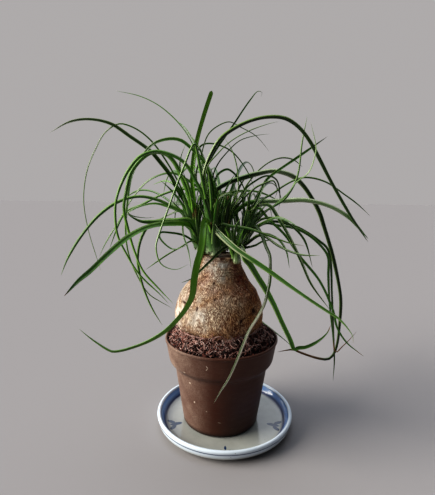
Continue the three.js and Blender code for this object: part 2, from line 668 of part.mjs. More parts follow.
// A blade: a three-sided strip along the points with its keel below. Its flat side starts level
// and is carried along the leaf without turning, then twisted about it.
function blade({ points, halves }, twist) {
  const [root] = points;
  const count = points.length;
  const reach = (point) => Math.hypot(point.x - root.x, point.y - root.y);
  const far = points.reduce((best, point) => (reach(point) > reach(best) ? point : best));
  const side = new THREE.Vector3(far.y - root.y, root.x - far.x, 0).normalize();
  const rings = points.map((point, i) => {
    const [before, after] = [points[Math.max(0, i - 1)], points[Math.min(count - 1, i + 1)]];
    const along = after.clone().sub(before).normalize();
    side.addScaledVector(along, -side.dot(along)).normalize();
    const across = side.clone().applyAxisAngle(along, twist);
    const down = along.clone().cross(across);
    const keel = THREE.MathUtils.clamp(halves[i], ...leafKeel);
    return [
      point.clone().addScaledVector(across, -halves[i]),
      point.clone().addScaledVector(across, halves[i]),
      point.clone().addScaledVector(down, keel),
    ];
  });
  return ringed(rings.slice(0, -1), root, points.at(-1));
}

addPiece('saucer', saucer(), 0xc9d6e0, 0.15);
addPiece('pot', pot(), 0x5f3a2a, 0.5);
addPiece('soil', soil(), 0x3a211b, 0.95);
addPiece('caudex', trunk(), 0xb08a5c, 0.8);

const leaves = allLeaves();
bendClear(leaves);
for (const [name, head] of Object.entries(heads)) {
  const own = leaves.filter((leaf) => leaf.name === name);
  const blades = own.map((leaf) => blade(leaf, leaf.twist));
  addPiece(name, mainBody(wasm.Manifold.union([headCore(head), ...blades])), 0x3f7a1e, 0.5);
}

export default group;
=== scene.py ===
"""A potted ponytail palm on its saucer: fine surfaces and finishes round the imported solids.

The origin is the centre of the saucer's flat underside, +Z is up and the viewer is on the -Y side.
Shapes are worked out in millimetres and become metres when they are made a mesh.
"""

import math
from functools import partial
from itertools import product

import bpy
import numpy as np
from mathutils import Matrix


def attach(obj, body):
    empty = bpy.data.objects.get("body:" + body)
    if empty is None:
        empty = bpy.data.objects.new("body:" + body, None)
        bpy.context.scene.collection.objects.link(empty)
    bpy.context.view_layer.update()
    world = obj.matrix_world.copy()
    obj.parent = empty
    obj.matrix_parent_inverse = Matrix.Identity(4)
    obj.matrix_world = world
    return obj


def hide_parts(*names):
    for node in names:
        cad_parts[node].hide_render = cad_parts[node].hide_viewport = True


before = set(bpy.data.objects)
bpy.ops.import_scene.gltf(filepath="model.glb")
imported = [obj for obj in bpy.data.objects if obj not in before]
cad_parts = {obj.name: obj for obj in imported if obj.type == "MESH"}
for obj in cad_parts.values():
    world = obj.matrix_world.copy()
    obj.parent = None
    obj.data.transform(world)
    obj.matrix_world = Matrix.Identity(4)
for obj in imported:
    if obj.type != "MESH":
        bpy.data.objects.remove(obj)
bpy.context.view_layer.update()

bl_info = {
    "name": "Potted Ponytail Palm",
    "version": (1, 0, 0),
    "blender": (4, 5, 0),
    "location": "3D View > Sidebar > Ponytail Palm",
    "description": "Builds a potted ponytail palm on its saucer, with its finishes and its stage",
    "category": "Add Mesh",
}

MM = 0.001

# Saucer, pot and soil, in millimetres, with the same sizes as the solids. Pairs are a radius and a
# height, and the lip is a circle: how far out and how high its centre is, and its radius. The saucer
# has a floor's height and the radii of its foot and its flat middle. The pot stands a little to the
# left; its arches start, and its drain holes stand, at a distance from its own middle.
SAUCER_LIP = (71.8, 13.2, 2.0)
SAUCER_OUTSIDE = [(64.4, 0.0), (67.2, 1.3), (72.0, 6.0)]
SAUCER_INSIDE = [(68.2, 9.4), (64.9, 6.1), (61.5, 5.0)]
SAUCER_FLOOR, SAUCER_FOOT, SAUCER_WELL = 5.0, 62.0, 56.0
POT_X = -4.5
POT_BASE, POT_CORNER = 40.6, 3.2
POT_STEP = (49.8, 70.0)
POT_COLLAR = (55.4, 75.0)
POT_RIM = [(59.1, 96.4), (60.0, 97.0), (60.0, 98.9), (59.4, 99.4), (58.4, 99.4), (57.6, 96.8)]
POT_RIM_RADIUS, POT_RIM_HEIGHT, POT_WALL = 60.0, 99.4, 1.5
POT_FLOOR = 8.1
ARCHES, ARCH_WIDTH, ARCH_HEIGHT, ARCH_FROM = 6, 19.0, 1.6, 14.6
DRAIN_RADIUS, DRAIN_REACH = 3.0, 27.6
SOIL_EDGE, SOIL_HEAP, SOIL_GAP = 95.6, 16.5, 0.4

# Inside radius of the pot at the soil's top, and the height where the soil meets the trunk.
SOIL_RADIUS, SOIL_LINE = 57.0, 110.0

# Trunk: height, radius and sideways shift of its outline.
TRUNK = np.array([
    (62, 0, -5.5), (64, 7, -5.5), (70, 14, -5.5), (79, 20, -5.5), (88, 26, -5.5), (96, 31, -5.6),
    (101, 35.2, -5.8), (105, 39.6, -6.1), (111, 44, -7.2), (118, 46.3, -7.6), (125, 46.8, -7.6),
    (132, 45.7, -7.6), (138, 44.2, -7.5), (144, 42, -7.5), (150, 39.2, -7.5), (156, 34.4, -7.3),
    (162, 29.4, -6.7), (168, 25.6, -6.0), (174, 22.8, -6.0), (180, 21.4, -6.0), (185, 21.2, -6.0),
    (187, 19.6, -6.0),
], float)
TRUNK_TOP = 187.0

# Heights between which the trunk leaves the soil and between which its belly ends, how much flatter it
# is front to back, and where its crease runs, in degrees.
TRUNK_BARE, TRUNK_SHOULDER, TRUNK_FLAT, CREASE_ANGLE = (98, 112), (160, 182), 0.05, -126

# The cut on top: share of the way out from its middle, and how far the cut sinks there.
TRUNK_CUT = [(0.985, 0.02), (0.95, 0.05), (0.9, 0.35), (0.8, 0.7), (0.65, 0.9), (0.5, 1.0), (0.35, 1.0),
             (0.2, 1.0), (0.08, 1.0)]

# The eye that the leaf routes are drawn from, on the upright plane through the origin.
EYE = np.array([-9.8, -390.0, 256.0])
EYE_PITCH, EYE_ROLL, EYE_LENS = 9.0, 0.66, 27.64

# Heads of leaves: base and top of the column of leaf sheaths, and its radius at both.
HEADS = {
    "head_left": ((-25, 2, 187.3), (-37, 1, 229), (6.2, 3.6)),
    "head_front": ((-13, -12.5, 187.3), (-16, -13.5, 227), (6.4, 3.8)),
    "head_small": ((8.6, -19.3, 181), (8.6, -22, 205), (3.4, 2.6)),
    "head_right": ((9.5, 5.5, 187.3), (23, 8, 219), (6.2, 3.8)),
    "head_back": ((-4.5, 14.5, 187.3), (-2, 16, 232), (6.0, 3.6)),
}

# Leaf routes, as in the solids: width at the root, width at the tip, depth of the tip towards the
# eye, then the points across and up, with a depth of their own where a third number is given.
ROUTES = {
    "head_left": [
      [4.2, 1.6, -30, [-41, 237], [-49, 250], [-58, 267], [-68, 280], [-78, 291], [-98, 305], [-117, 317],
        [-139, 321], [-158, 318], [-177, 308]],
      [4.0, 1.3, 28, [-40, 248], [-45, 261], [-54, 280], [-62, 288], [-70, 290], [-78, 289], [-88, 282],
        [-98, 269], [-103, 251], [-106, 234], [-102, 211], [-97, 192], [-88, 169], [-72, 150], [-56, 133]],
      [2.2, 1.2, -45, [-46, 252], [-53, 266], [-68, 290], [-78, 302], [-88, 310], [-98, 315], [-107, 317],
        [-114, 315], [-124, 307], [-133, 292], [-142, 272], [-147, 242], [-144, 213], [-136, 182],
        [-132, 168]],
      [3.4, 1.4, 12, [-40, 227], [-59, 237], [-69, 242], [-89, 246], [-110, 241], [-131, 227], [-152, 203],
        [-166, 181], [-174, 163]],
      [2.4, 1.3, -20, [-40, 226], [-51, 232], [-61, 236], [-74, 239], [-89, 236], [-102, 229], [-98, 226],
        [-84, 224], [-74, 225]],
      [5.4, 2.2, 28, [-38, 221], [-59, 221], [-79, 220], [-90, 221], [-103, 228]],
      [2.2, 1.2, -28, [-38, 233], [-49, 232], [-64, 226], [-75, 220]],
      [2.0, 1.2, -45, [-38, 237], [-46, 238], [-64, 239]],
      [5.6, 2.6, 105, [-38, 217], [-59, 219], [-79, 216], [-100, 206], [-122, 188], [-143, 168],
        [-156, 157], [-172, 140]],
      [2.6, 1.2, 22, [-49, 221], [-68, 222], [-79, 218], [-88, 205], [-93, 182], [-90, 159], [-83, 137],
        [-77, 124], [-68, 109]],
      [2.4, 1.1, 40, [-38, 203], [-46, 207], [-57, 209], [-69, 209], [-70, 205], [-63, 196], [-55, 192],
        [-40, 197]],
      [2.2, 1.0, 70, [-36, 201], [-49, 194], [-64, 185], [-86, 169]],
      [2.0, 1.1, 34, [-36, 212], [-45, 218], [-45, 206], [-41, 194], [-38, 178], [-37, 170]],
      [4.2, 3.9, -12, [-34, 238], [-36, 261], [-35, 283], [-31, 304], [-25, 325], [-17, 349]],
      [2.2, 1.2, -18, [-42, 253], [-48, 271], [-48, 283], [-43, 298]],
      [2.0, 1.1, -40, [-35, 262], [-33, 285], [-27, 297], [-16, 299], [3, 292], [20, 271], [27, 254]],
      [3.0, 1.6, -62, [-42, 240], [-54, 258], [-64, 262], [-76, 258]],
      [3.2, 1.2, 14, [-36, 240], [-42, 262], [-54, 276]],
    ],
    "head_front": [
      [3.4, 1.3, 18, [-16, 221], [-22, 242], [-32, 261], [-44, 280], [-58, 288], [-73, 291], [-88, 286],
        [-99, 274], [-108, 258], [-114, 240], [-115, 222], [-113, 205], [-105, 187], [-92, 165], [-70, 143],
        [-61, 133]],
      [4.0, 1.8, -36, [-15, 230], [-15, 248], [-17, 265], [-25, 282], [-38, 295], [-48, 302], [-60, 303],
        [-75, 298], [-87, 285], [-97, 267], [-102, 242], [-105, 211], [-103, 188], [-95, 165], [-82, 143],
        [-70, 135], [-57, 128]],
      [2.4, 1.1, 74, [-23, 248], [-29, 278], [-34, 299], [-38, 293], [-42, 283], [-53, 255], [-63, 228],
        [-71, 206], [-74, 194], [-69, 176], [-54, 170], [-40, 176]],
      [2.0, 1.0, -34, [-23, 263], [-29, 285], [-36, 301], [-48, 317], [-68, 334], [-87, 343], [-111, 348]],
      [2.0, 1.0, -22, [-32, 265], [-27, 288], [-20, 308], [-9, 317], [1, 320], [12, 315], [27, 307],
        [41, 292]],
      [5.2, 2.4, -16, [-25, 253], [-24, 271], [-18, 288], [-8, 304], [11, 317], [31, 324], [50, 325],
        [60, 322], [71, 314], [81, 302], [92, 284], [103, 265], [126, 229], [134, 218], [146, 202]],
      [2.2, 1.2, -40, [-24, 265], [-20, 279], [-11, 295], [3, 315], [20, 340], [28, 349], [32, 348],
        [31, 344]],
      [2.0, 1.1, 8, [-22, 273], [-10, 290], [3, 302], [21, 312], [41, 319], [50, 321]],
      [2.0, 1.1, -8, [-16, 263], [-11, 278], [-1, 291], [11, 302], [26, 307], [41, 309]],
      [7.2, 1.8, 58, [-18, 219], [-22, 223], [-24, 217, 34], [-25, 205, 44], [-27, 191, 52], [-31, 176, 60],
        [-34, 159, 64], [-36, 142, 66], [-44, 126, 66], [-54, 113, 64], [-65, 102], [-82, 91], [-98, 84],
        [-114, 79], [-123, 78], [-128, 80], [-146, 93], [-158, 104]],
      [6.0, 1.4, 110, [-14, 217], [-9, 211, 26], [5, 199, 36], [22, 186, 45], [46, 169], [67, 154],
        [89, 139], [109, 126], [120, 119], [130, 109], [137, 99], [138, 91]],
      [3.4, 1.6, 48, [-6, 218], [3, 217], [23, 214], [39, 209], [65, 200], [80, 197]],
      [3.0, 1.4, 30, [-14, 236], [-8, 246], [2, 250], [12, 244]],
    ],
    "head_small": [
      [2.8, 1.4, 44, [5, 196], [-5, 192], [-15, 182, 34], [-28, 169], [-36, 161], [-48, 156]],
      [3.6, 1.6, 36, [4, 192], [1, 202], [-3, 214]],
      [3.6, 1.6, 38, [11, 192], [13, 202], [17, 214]],
      [3.8, 1.1, 48, [10, 197], [14, 194], [19, 183, 40], [24, 177], [33, 163], [42, 149], [51, 133],
        [60, 114], [70, 94], [75, 83], [79, 85], [87, 86], [100, 93], [109, 102], [113, 112]],
      [2.8, 1.4, 52, [8, 204], [9, 216], [14, 226]],
    ],
    "head_right": [
      [2.8, 1.4, -25, [20, 221], [30, 244], [39, 264], [47, 271], [67, 285], [84, 297], [98, 307]],
      [2.6, 1.3, -10, [28, 225], [43, 235], [57, 244], [63, 252], [68, 262], [71, 274], [73, 301],
        [77, 326]],
      [2.4, 1.2, 16, [35, 230], [48, 239], [61, 251], [69, 262], [81, 272], [87, 291], [87, 298], [81, 320]],
      [2.4, 1.2, -45, [27, 235], [35, 244], [45, 250], [56, 258], [67, 264], [78, 267], [98, 263],
        [119, 250], [132, 241], [146, 229]],
      [2.2, 1.1, -22, [16, 251, -10], [28, 263], [40, 268], [49, 264], [53, 248], [52, 233]],
      [2.4, 1.2, 6, [24, 252], [38, 261], [46, 263], [50, 254], [48, 245]],
      [3.4, 1.8, 52, [31, 217], [44, 224], [52, 226], [66, 221], [72, 217]],
      [3.0, 1.2, 12, [39, 220], [52, 218], [67, 216], [78, 212], [89, 205], [102, 192], [106, 184],
        [107, 166], [110, 136], [115, 106], [120, 81], [126, 87], [136, 98], [141, 105]],
      [3.0, 1.3, -18, [36, 220], [49, 222], [70, 217], [84, 210], [96, 202], [104, 195], [108, 184],
        [112, 145], [117, 94], [119, 72], [119, 47]],
      [2.8, 1.3, 34, [31, 236], [42, 225], [60, 208], [76, 186], [98, 160], [114, 128], [120, 108],
        [131, 92], [143, 82], [151, 76]],
      [3.0, 1.2, 66, [23, 231], [31, 238], [37, 239], [43, 238], [52, 226], [65, 205], [78, 180], [89, 157],
        [111, 128]],
      [2.6, 1.6, 22, [35, 224], [52, 225], [67, 217], [80, 203], [90, 174]],
      [2.4, 1.4, 44, [36, 209], [51, 205], [61, 193], [66, 173]],
      [3.4, 1.2, 85, [21, 199], [32, 207], [38, 207], [55, 196], [76, 188], [97, 187]],
      [2.8, 1.6, 24, [29, 197], [36, 201], [46, 203]],
      [4.2, 1.5, 68, [28, 217, 10], [36, 207, 24], [41, 195, 36], [45, 186, 44], [46, 175, 50],
        [46, 160, 56], [44, 147, 60], [41, 134, 63], [34, 119, 67], [26, 105, 69], [19, 87, 70],
        [13, 70, 70], [4, 48, 70], [-4, 34, 69], [-12, 19]],
      [5.0, 2.4, -4, [22, 222], [22, 237], [20, 248]],
      [3.2, 1.4, 8, [25, 226], [31, 240], [38, 246]],
    ],
    "head_back": [
      [2.2, 1.2, -62, [-11, 250], [-28, 255], [-46, 266], [-58, 270], [-79, 263], [-96, 246], [-112, 220],
        [-127, 196], [-133, 183]],
      [2.4, 1.2, -50, [-20, 250], [-31, 254], [-51, 253], [-69, 247], [-89, 237], [-103, 231], [-110, 221],
        [-122, 192]],
      [2.0, 1.1, -28, [10, 253], [10, 264], [8, 278], [3, 293], [-4, 304]],
      [2.8, 1.4, -26, [-14, 253], [-12, 265], [-9, 270], [-1, 274], [5, 271], [13, 262], [17, 254],
        [22, 242]],
      [4.2, 1.5, -8, [-14, 250], [-3, 259], [19, 267], [34, 271], [47, 273], [65, 268], [76, 259, -56],
        [87, 244], [94, 232], [99, 219], [110, 188, -50], [120, 150], [122, 136], [122, 108],
        [121, 91, -34], [118, 79], [113, 73], [103, 73], [81, 80], [74, 83], [65, 82], [56, 80]],
      [4.0, 2.2, -42, [-6, 245], [5, 251], [22, 253], [35, 251], [53, 243]],
      [4.0, 2.2, -34, [8, 231], [19, 240], [31, 242], [56, 243], [79, 244], [105, 238], [126, 226],
        [133, 219], [146, 205]],
      [2.4, 1.2, -12, [2, 240, -28], [6, 218, -48], [8, 190, -60], [14, 160, -64], [24, 136, -64],
        [34, 119, -58], [48, 107, -42], [64, 94, -20], [75, 84]],
    ],
}

# Leaves that no single sight line shows: count, heading and its spread in degrees, length, width
# and rise in degrees.
UNSEEN = {
    "head_left": [[2, 122, 14, 150, 3.2, 46], [3, 112, 12, 215, 3.4, 46], [6, 180, 150, 62, 3.0, 70]],
    "head_front": [[2, 118, 20, 130, 3.0, 78], [6, 250, 160, 60, 3.2, 70]],
    "head_small": [[4, 280, 120, 34, 2.6, 74]],
    "head_right": [[2, 72, 14, 150, 3.2, 46], [3, 76, 12, 215, 3.4, 46], [6, 20, 150, 58, 3.0, 68]],
    "head_back": [[8, 92, 22, 255, 3.8, 46], [4, 90, 50, 165, 3.4, 46], [6, 90, 170, 62, 3.0, 70]],
}

# An unseen leaf: how far it bends down over 150 mm in radians, its steps, its steepest fall in degrees
# and its tip's width as a share of its root's.
UNSEEN_DROOP, UNSEEN_STEPS, UNSEEN_STEEPEST, UNSEEN_TIP = 1.55, 8, -80.0, 0.45

# Any leaf: length of a coarse step, least and most steps, how late it narrows and its twist in degrees.
LEAF_STEP, LEAF_STEPS, LEAF_TAPER, LEAF_TWIST = 27.0, (4, 14), 1.8, (38.0, 60.0)

# How far under its first free point a leaf starts, and between which shares of its head's height.
ROOT_DROP, ROOT_SHARES = 16.0, (0.14, 0.9)

# The clearance that bends aim at, how many rounds of them, and how near to look for a neighbour.
CLEARANCE, BEND_ROUNDS, BEND_REACH = 0.9, 60, 12

# The start of all random draws.
SEED = 20317

# Shares of a push that a point of a leaf takes itself and from each of its neighbours.
PUSH_OWN, PUSH_NEXT = 0.7, 0.25

# Steps round the soil, the trunk, a drain hole, a column of sheaths and a fibre.
SOIL_SIDES, TRUNK_SIDES, DRAIN_SIDES, COLUMN_SIDES, FIBRE_SIDES = 300, 320, 24, 56, 5

# Rings of the soil's top, of a fibre, of a sheath and of a column. Those of the trunk and of its hole in
# the soil are given by the height they start and end at and their number.
SOIL_RINGS, FIBRE_RINGS, SHEATH_RINGS, COLUMN_RINGS = 64, 9, 22, 30
TRUNK_RINGS, HOLE_RINGS = [(64, 94, 12), (95, 186.4, 262)], (113, 66, 16)

# Sheaths round a head's column, and round that of the small head.
SHEATHS, FEW_SHEATHS = 30, 12

# Steps along the trunk's outline and along a leaf when its length is taken.
OUTLINE_STEPS, LENGTH_STEPS = 2201, 201

# Large numbers that scatter the bits of a cube's place, for noise.
SCATTER = (73856093, 19349663, 83492791, 2654435761, 1274126177, 668265263)

# The turn from one sheath to the next, a random phase's top, both in radians, and half the floor's
# width in metres.
GOLDEN_ANGLE, ANY_PHASE, FLOOR_REACH = 2.39996, 6.3, 6

# Depth of a leaf's channel as a share of its half width, and the half width under which it is thinned.
CHANNEL, THINNED = 0.62, 0.8

# Leaves with a brown, dry tip: head and place in its routes, and the share where the brown starts.
DRY_TIPS = {("head_back", 4): 0.86, ("head_right", 7): 0.82, ("head_front", 11): 0.97,
            ("head_left", 8): 0.97, ("head_right", 9): 0.95, ("head_small", 3): 0.96}

# Leaves with a painted sheen along a stretch, pale in the middle and whiter at the margins: the shares where
# it starts and ends, how pale a green its middle is and how white its margins are.
PAINTED_SHEEN_LEAVES = {("head_right", 15): (0.48, 1.3, 0.05, 1.0), ("head_front", 10): (0.02, 0.42, 0.02, 0.3),
               ("head_back", 4): (0.16, 0.35, 0.4, 0.3), ("head_back", 6): (0.22, 0.85, 0.45, 0.3),
               ("head_right", 2): (0.5, 1.3, 0.2, 0.2)}

# The leaf that is cut off square, and the one whose foot is narrow and darkened with painted shade, behind
# the rest.
BLUNT_TIP = ("head_left", 13)
NARROW_FOOT = ("head_front", 9)

# How much broader a leaf's flat strap is than its solid, which is as broad seen from every side, and what
# makes single leaves differ from the rest: how much lighter they are, how many times as broad, and how much
# lighter still from root to tip. The lightness is partly the leaf's own tone and partly painted light and
# shade: lighter where a leaf is lit through, darker where it is seen from below or lies in shade.
LEAF_SHOWN = 1.08
LEAF_LOOKS = {
    "head_left": {0: (-0.45, 1, 0), 1: (0.3, 1, 0.2), 2: (-0.25, 0.75, 0), 3: (0.1, 1.2, 0.2),
        5: (0.05, 1.25, 0), 8: (0.15, 1.2, 0), 9: (0.1, 1.3, 0), 13: (0.35, 1, 0.5), 16: (0.4, 1, 0),
        17: (0.4, 1, -0.3)},
    "head_front": {0: (0.35, 1, 0.2), 1: (0.25, 0.8, -0.2), 2: (-0.15, 1, 0), 3: (0, 0.65, 0),
        4: (0, 0.75, 0), 5: (-0.3, 0.9, 0.2), 7: (0, 0.65, 0), 8: (0, 0.65, 0), 9: (0.6, 0.95, -1.0),
        10: (-0.45, 0.9, -0.3), 11: (-0.15, 1, 0), 12: (-0.1, 1, 0)},
    "head_small": {0: (-0.1, 1, 0.3), 3: (-0.1, 1.7, 0.2)},
    "head_right": {0: (-0.35, 1.25, 0), 1: (-0.15, 1, 0), 2: (-0.1, 0.7, 0), 6: (-0.35, 1, 0.4),
        9: (0, 1.2, 0), 10: (-0.3, 1.15, 0), 11: (-0.25, 1, 0), 13: (-0.1, 1, 0.1), 14: (-0.2, 1, 0),
        15: (-0.3, 0.95, -0.2), 16: (0.15, 1, 0), 17: (-0.2, 1, 0)},
    "head_back": {0: (0, 1.3, 0), 1: (0, 1.25, 0), 3: (0.2, 1, 0), 4: (-0.3, 1.25, 0), 5: (0.2, 1, 0.1),
        6: (0.05, 1.35, 0), 7: (0.25, 1, 0)},
}

# Leaves that are turned about themselves by so many more radians, so that their face is seen.
LEAF_TURNS = {("head_small", 3): -0.7, ("head_front", 9): 0.5, ("head_right", 15): -0.6}

# One strap's cross section: across from -1 to 1, down as a share of the channel's depth, and whether
# the point is on the underside. It is a shallow V with a thin body.
STRAP = np.array([(-1, 0, 0), (-0.55, 0.62, 0), (0, 1, 0), (0.55, 0.62, 0), (1, 0, 0),
                  (0.55, 0.62, 1), (0, 1, 1), (-0.55, 0.62, 1)])

# The three strokes of the saucer's sprig, in metres on the folded plane: centre, turn and half sizes.
SPRIG = [((0.0545, 0, 0), 0.0, (0.0068, 0.0026, 1)), ((0.0588, 0.0052, 0), 0.72, (0.0048, 0.0023, 1)),
         ((0.0588, -0.0052, 0), -0.72, (0.0048, 0.0023, 1))]

# Pale marks on the pot, in metres: centre, turn, half sizes and strength.
SPECKS = [
    ((-0.0357, -0.0375, 0.0633), 0.3, (0.0008, 0.006, 0.0008), 0.9),
    ((-0.0312, -0.0371, 0.0425), 0.0, (0.0007, 0.006, 0.0010), 0.8),
    ((-0.0408, -0.0422, 0.0769), 0.0, (0.0011, 0.006, 0.0005), 0.6),
    ((-0.0184, -0.0560, 0.0893), 1.0, (0.0016, 0.006, 0.0003), 0.9),
    ((-0.0186, -0.0556, 0.0866), -1.0, (0.0016, 0.006, 0.0003), 0.8),
    ((-0.0189, -0.0423, 0.0356), 0.0, (0.0006, 0.006, 0.0006), 0.5),
    ((-0.0060, -0.0429, 0.0239), 0.2, (0.0016, 0.006, 0.0005), 0.3),
]

# Colours of the bark's patches, in the order that they are laid on. The silvery one is partly the bark's own
# silver and partly painted highlights.
BARK_COLOURS = {"warm": "#e09a50", "cream": "#d3ccc2", "flush": "#a56c58", "silver_and_highlight": "#c2c2ba",
                "moss": "#5e6440", "ruddy": "#722813"}

# Patches of the bark: which colour, angle and height of the middle, half sizes in degrees and
# millimetres, and strength.
BARK_PATCHES = [
    ("warm", -38, 122, 36, 20, 0.85), ("warm", -70, 112, 40, 7, 0.6), ("warm", -15, 142, 36, 22, 0.8),
    ("warm", -8, 124, 34, 26, 0.9), ("cream", -96, 150, 18, 10, 0.45), ("cream", -128, 160, 18, 10, 0.6),
    ("cream", -158, 130, 30, 26, 0.95), ("cream", -126, 126, 22, 16, 0.6), ("cream", -122, 181, 24, 11, 0.95),
    ("cream", 165, 134, 44, 26, 0.8), ("cream", 90, 128, 40, 14, 0.4),
    # Silvery patches on the front and the neck: partly painted highlights.
    ("silver_and_highlight", -82, 178, 28, 11, 1.0), ("silver_and_highlight", -86, 168, 26, 8, 0.85), ("silver_and_highlight", -114, 132, 10, 12, 0.85),
    ("silver_and_highlight", -118, 146, 7, 9, 0.5), ("silver_and_highlight", 120, 176, 40, 9, 0.5), ("silver_and_highlight", -84, 164, 12, 5, 0.5),
    ("moss", -74, 171, 15, 5, 0.75), ("moss", -66, 165, 14, 4, 0.6), ("moss", -96, 162, 16, 3, 0.4),
    ("moss", 40, 168, 20, 5, 0.3),
    ("flush", -124, 166, 17, 8, 0.6), ("flush", -140, 159, 14, 7, 0.5), ("flush", -100, 157, 20, 5, 0.4),
    ("flush", -50, 160, 26, 12, 0.7), ("flush", 90, 160, 60, 8, 0.4), ("flush", -54, 118, 22, 9, 0.55),
    ("ruddy", -42, 178, 24, 12, 1.0), ("ruddy", -38, 163, 28, 11, 1.0), ("ruddy", -24, 149, 30, 13, 0.8),
    ("ruddy", 8, 165, 30, 14, 0.6), ("ruddy", -62, 157, 14, 6, 0.6), ("ruddy", -26, 130, 16, 14, 0.2),
]

# Healed marks: angle, height, half sizes in degrees and millimetres, and depth in millimetres.
BARK_MARKS = [
    (-146.5, 141.5, 4.5, 1.0, 0.8), (-153, 130, 1.8, 1.2, 0.6), (-120.2, 139.4, 1.4, 2.4, 0.6),
    (-39.5, 135.1, 3.2, 2.6, 0.9), (-61.3, 128.7, 2.0, 1.3, 0.7), (-63.5, 127.0, 1.2, 0.9, 0.5),
    (-57.5, 130.5, 1.0, 0.8, 0.4), (-102.5, 162.7, 1.8, 1.2, 0.4), (-96, 149, 1.0, 1.4, 0.3),
    (35, 126, 4, 1.6, 0.7), (82, 140, 2, 2, 0.6), (128, 122, 3, 1.2, 0.6), (170, 148, 2.5, 1.2, 0.5),
]


# Small helpers

def linear(colour):
    """A colour as linear red, green, blue and alpha, from sRGB hex or from a setting's three numbers."""
    if not isinstance(colour, str):
        return (*colour, 1.0)
    channels = np.array([int(colour[i:i + 2], 16) for i in (1, 3, 5)]) / 255
    high = ((channels + 0.055) / 1.055) ** 2.4
    return (*np.where(channels <= 0.04045, channels / 12.92, high).tolist(), 1.0)


def smoothstep(value, low, high):
    """0 below low and 1 above high, with an even S between them."""
    share = np.clip((value - low) / (high - low), 0, 1)
    return share * share * (3 - 2 * share)


def unit(vectors):
    """Vectors shortened or lengthened to one."""
    return vectors / np.maximum(np.linalg.norm(vectors, axis=-1, keepdims=True), 1e-12)


def noise(points, size, seed):
    """Smooth random values from -1 to 1: one at each corner of cubes of that size, blended between."""
    place = np.asarray(points, float) / size
    cell = np.floor(place).astype(np.int64)
    part = place - cell
    part = part * part * (3 - 2 * part)
    total = np.zeros(place.shape[:-1])
    for corner in product((0, 1), repeat=3):
        weight = np.prod(np.where(corner, part, 1 - part), axis=-1)
        mixed = (cell + corner) @ np.array(SCATTER[:3]) + seed * SCATTER[3]
        mixed = (mixed ^ (mixed >> 13)) * SCATTER[4] & 0xFFFFFFFF
        mixed = (mixed ^ (mixed >> 16)) * SCATTER[5] & 0xFFFFFFFF
        total += weight * ((mixed >> 8) / 0x7FFFFF - 1)
    return total


def degrees_from(angle, middle):
    """Degrees from a middle to an angle, the short way round."""
    return (np.degrees(angle) - middle + 180) % 360 - 180


def circle(steps):
    """Angles of even steps once round."""
    return np.arange(steps) / steps * 2 * np.pi


def around(x, radius, angle, height):
    """Points at a radius, an angle and a height about an upright axis at x."""
    return np.stack(np.broadcast_arrays(x + radius * np.cos(angle), radius * np.sin(angle), height), -1)


def sheet_faces(rows, columns):
    """Four-sided faces of a grid of rows by columns of points, its columns joined round."""
    row, here = np.arange(rows - 1)[:, None] * columns, np.arange(columns)[None]
    there = (here + 1) % columns
    return np.stack([row + here, row + there, row + columns + there, row + columns + here], -1).reshape(-1, 4)


def tube_faces(count, rings, sides):
    """Faces of count tubes: four-sided along them, and one face over each end."""
    ends = np.array([np.arange(sides)[::-1], (rings - 1) * sides + np.arange(sides)])
    return [copies(faces, count, rings * sides) for faces in (sheet_faces(rings, sides), ends)]


def copies(faces, count, step):
    """The faces of one shape repeated for count shapes of step points each."""
    return (faces[None] + (np.arange(count) * step)[:, None, None]).reshape(-1, faces.shape[1])


def joined(parts):
    """Parts, each of points, faces and values, joined to one."""
    starts = np.cumsum([0] + [part[0].size // 3 for part in parts])
    faces = [own + start for start, part in zip(starts, parts) for own in part[1]]
    values = {key: np.concatenate([part[2][key].ravel() for part in parts]) for key in parts[0][2]}
    return np.vstack([part[0].reshape(-1, 3) for part in parts]), faces, values


def volume(points, faces):
    """Signed volume that faces close: positive where they point outwards."""
    corners = points[faces]
    return sum(np.einsum("ij,ij->", corners[:, 0], np.cross(corners[:, k], corners[:, k + 1]))
               for k in range(1, faces.shape[1] - 1)) / 6


def add_object(name, data):
    """Puts a mesh, a light or a camera into the scene."""
    made = bpy.data.objects.new(name, data)
    bpy.context.scene.collection.objects.link(made)
    return made


def add_piece(name, points, face_sets, material, node=None, slot=None, values=None):
    """Makes a mesh of points in millimetres, smooth and outward, that rides on the plant. values holds
    one number a point for each named attribute that the material reads."""
    points = points.reshape(-1, 3)
    if sum(volume(points, faces) for faces in face_sets) < 0:
        face_sets = [faces[:, ::-1] for faces in face_sets]
    mesh = bpy.data.meshes.new(name)
    mesh.from_pydata((points * MM).tolist(), [], [face for faces in face_sets for face in faces.tolist()])
    for key, value in (values or {}).items():
        attribute = mesh.attributes.new(key, "FLOAT", "POINT")
        attribute.data.foreach_set("value", np.asarray(value, np.float32).ravel())
    mesh.polygons.foreach_set("use_smooth", np.ones(len(mesh.polygons), bool))
    mesh.materials.append(material)
    mesh.update()
    piece = add_object(name, mesh)
    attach(piece, "root")
    if node:
        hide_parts(node)
    return piece


def rounded(profile, sizes, steps=5):
    """A profile whose corners are rounded: each is a curve that starts and ends its size away."""
    profile = np.asarray(profile, float)
    to_last, to_next = np.diff(profile[:-1], axis=0), np.diff(profile[1:], axis=0)
    reach = np.minimum(np.linalg.norm(to_last, axis=1), np.linalg.norm(to_next, axis=1)) * 0.45
    size = np.minimum(sizes, reach)[:, None]
    corner = profile[1:-1]
    start, end = corner - unit(to_last) * size, corner + unit(to_next) * size
    t = np.linspace(0, 1, steps)[None, :, None]
    curves = start[:, None] * (1 - t) ** 2 + corner[:, None] * 2 * t * (1 - t) + end[:, None] * t ** 2
    return np.vstack([profile[:1], curves.reshape(-1, 2), profile[-1:]])


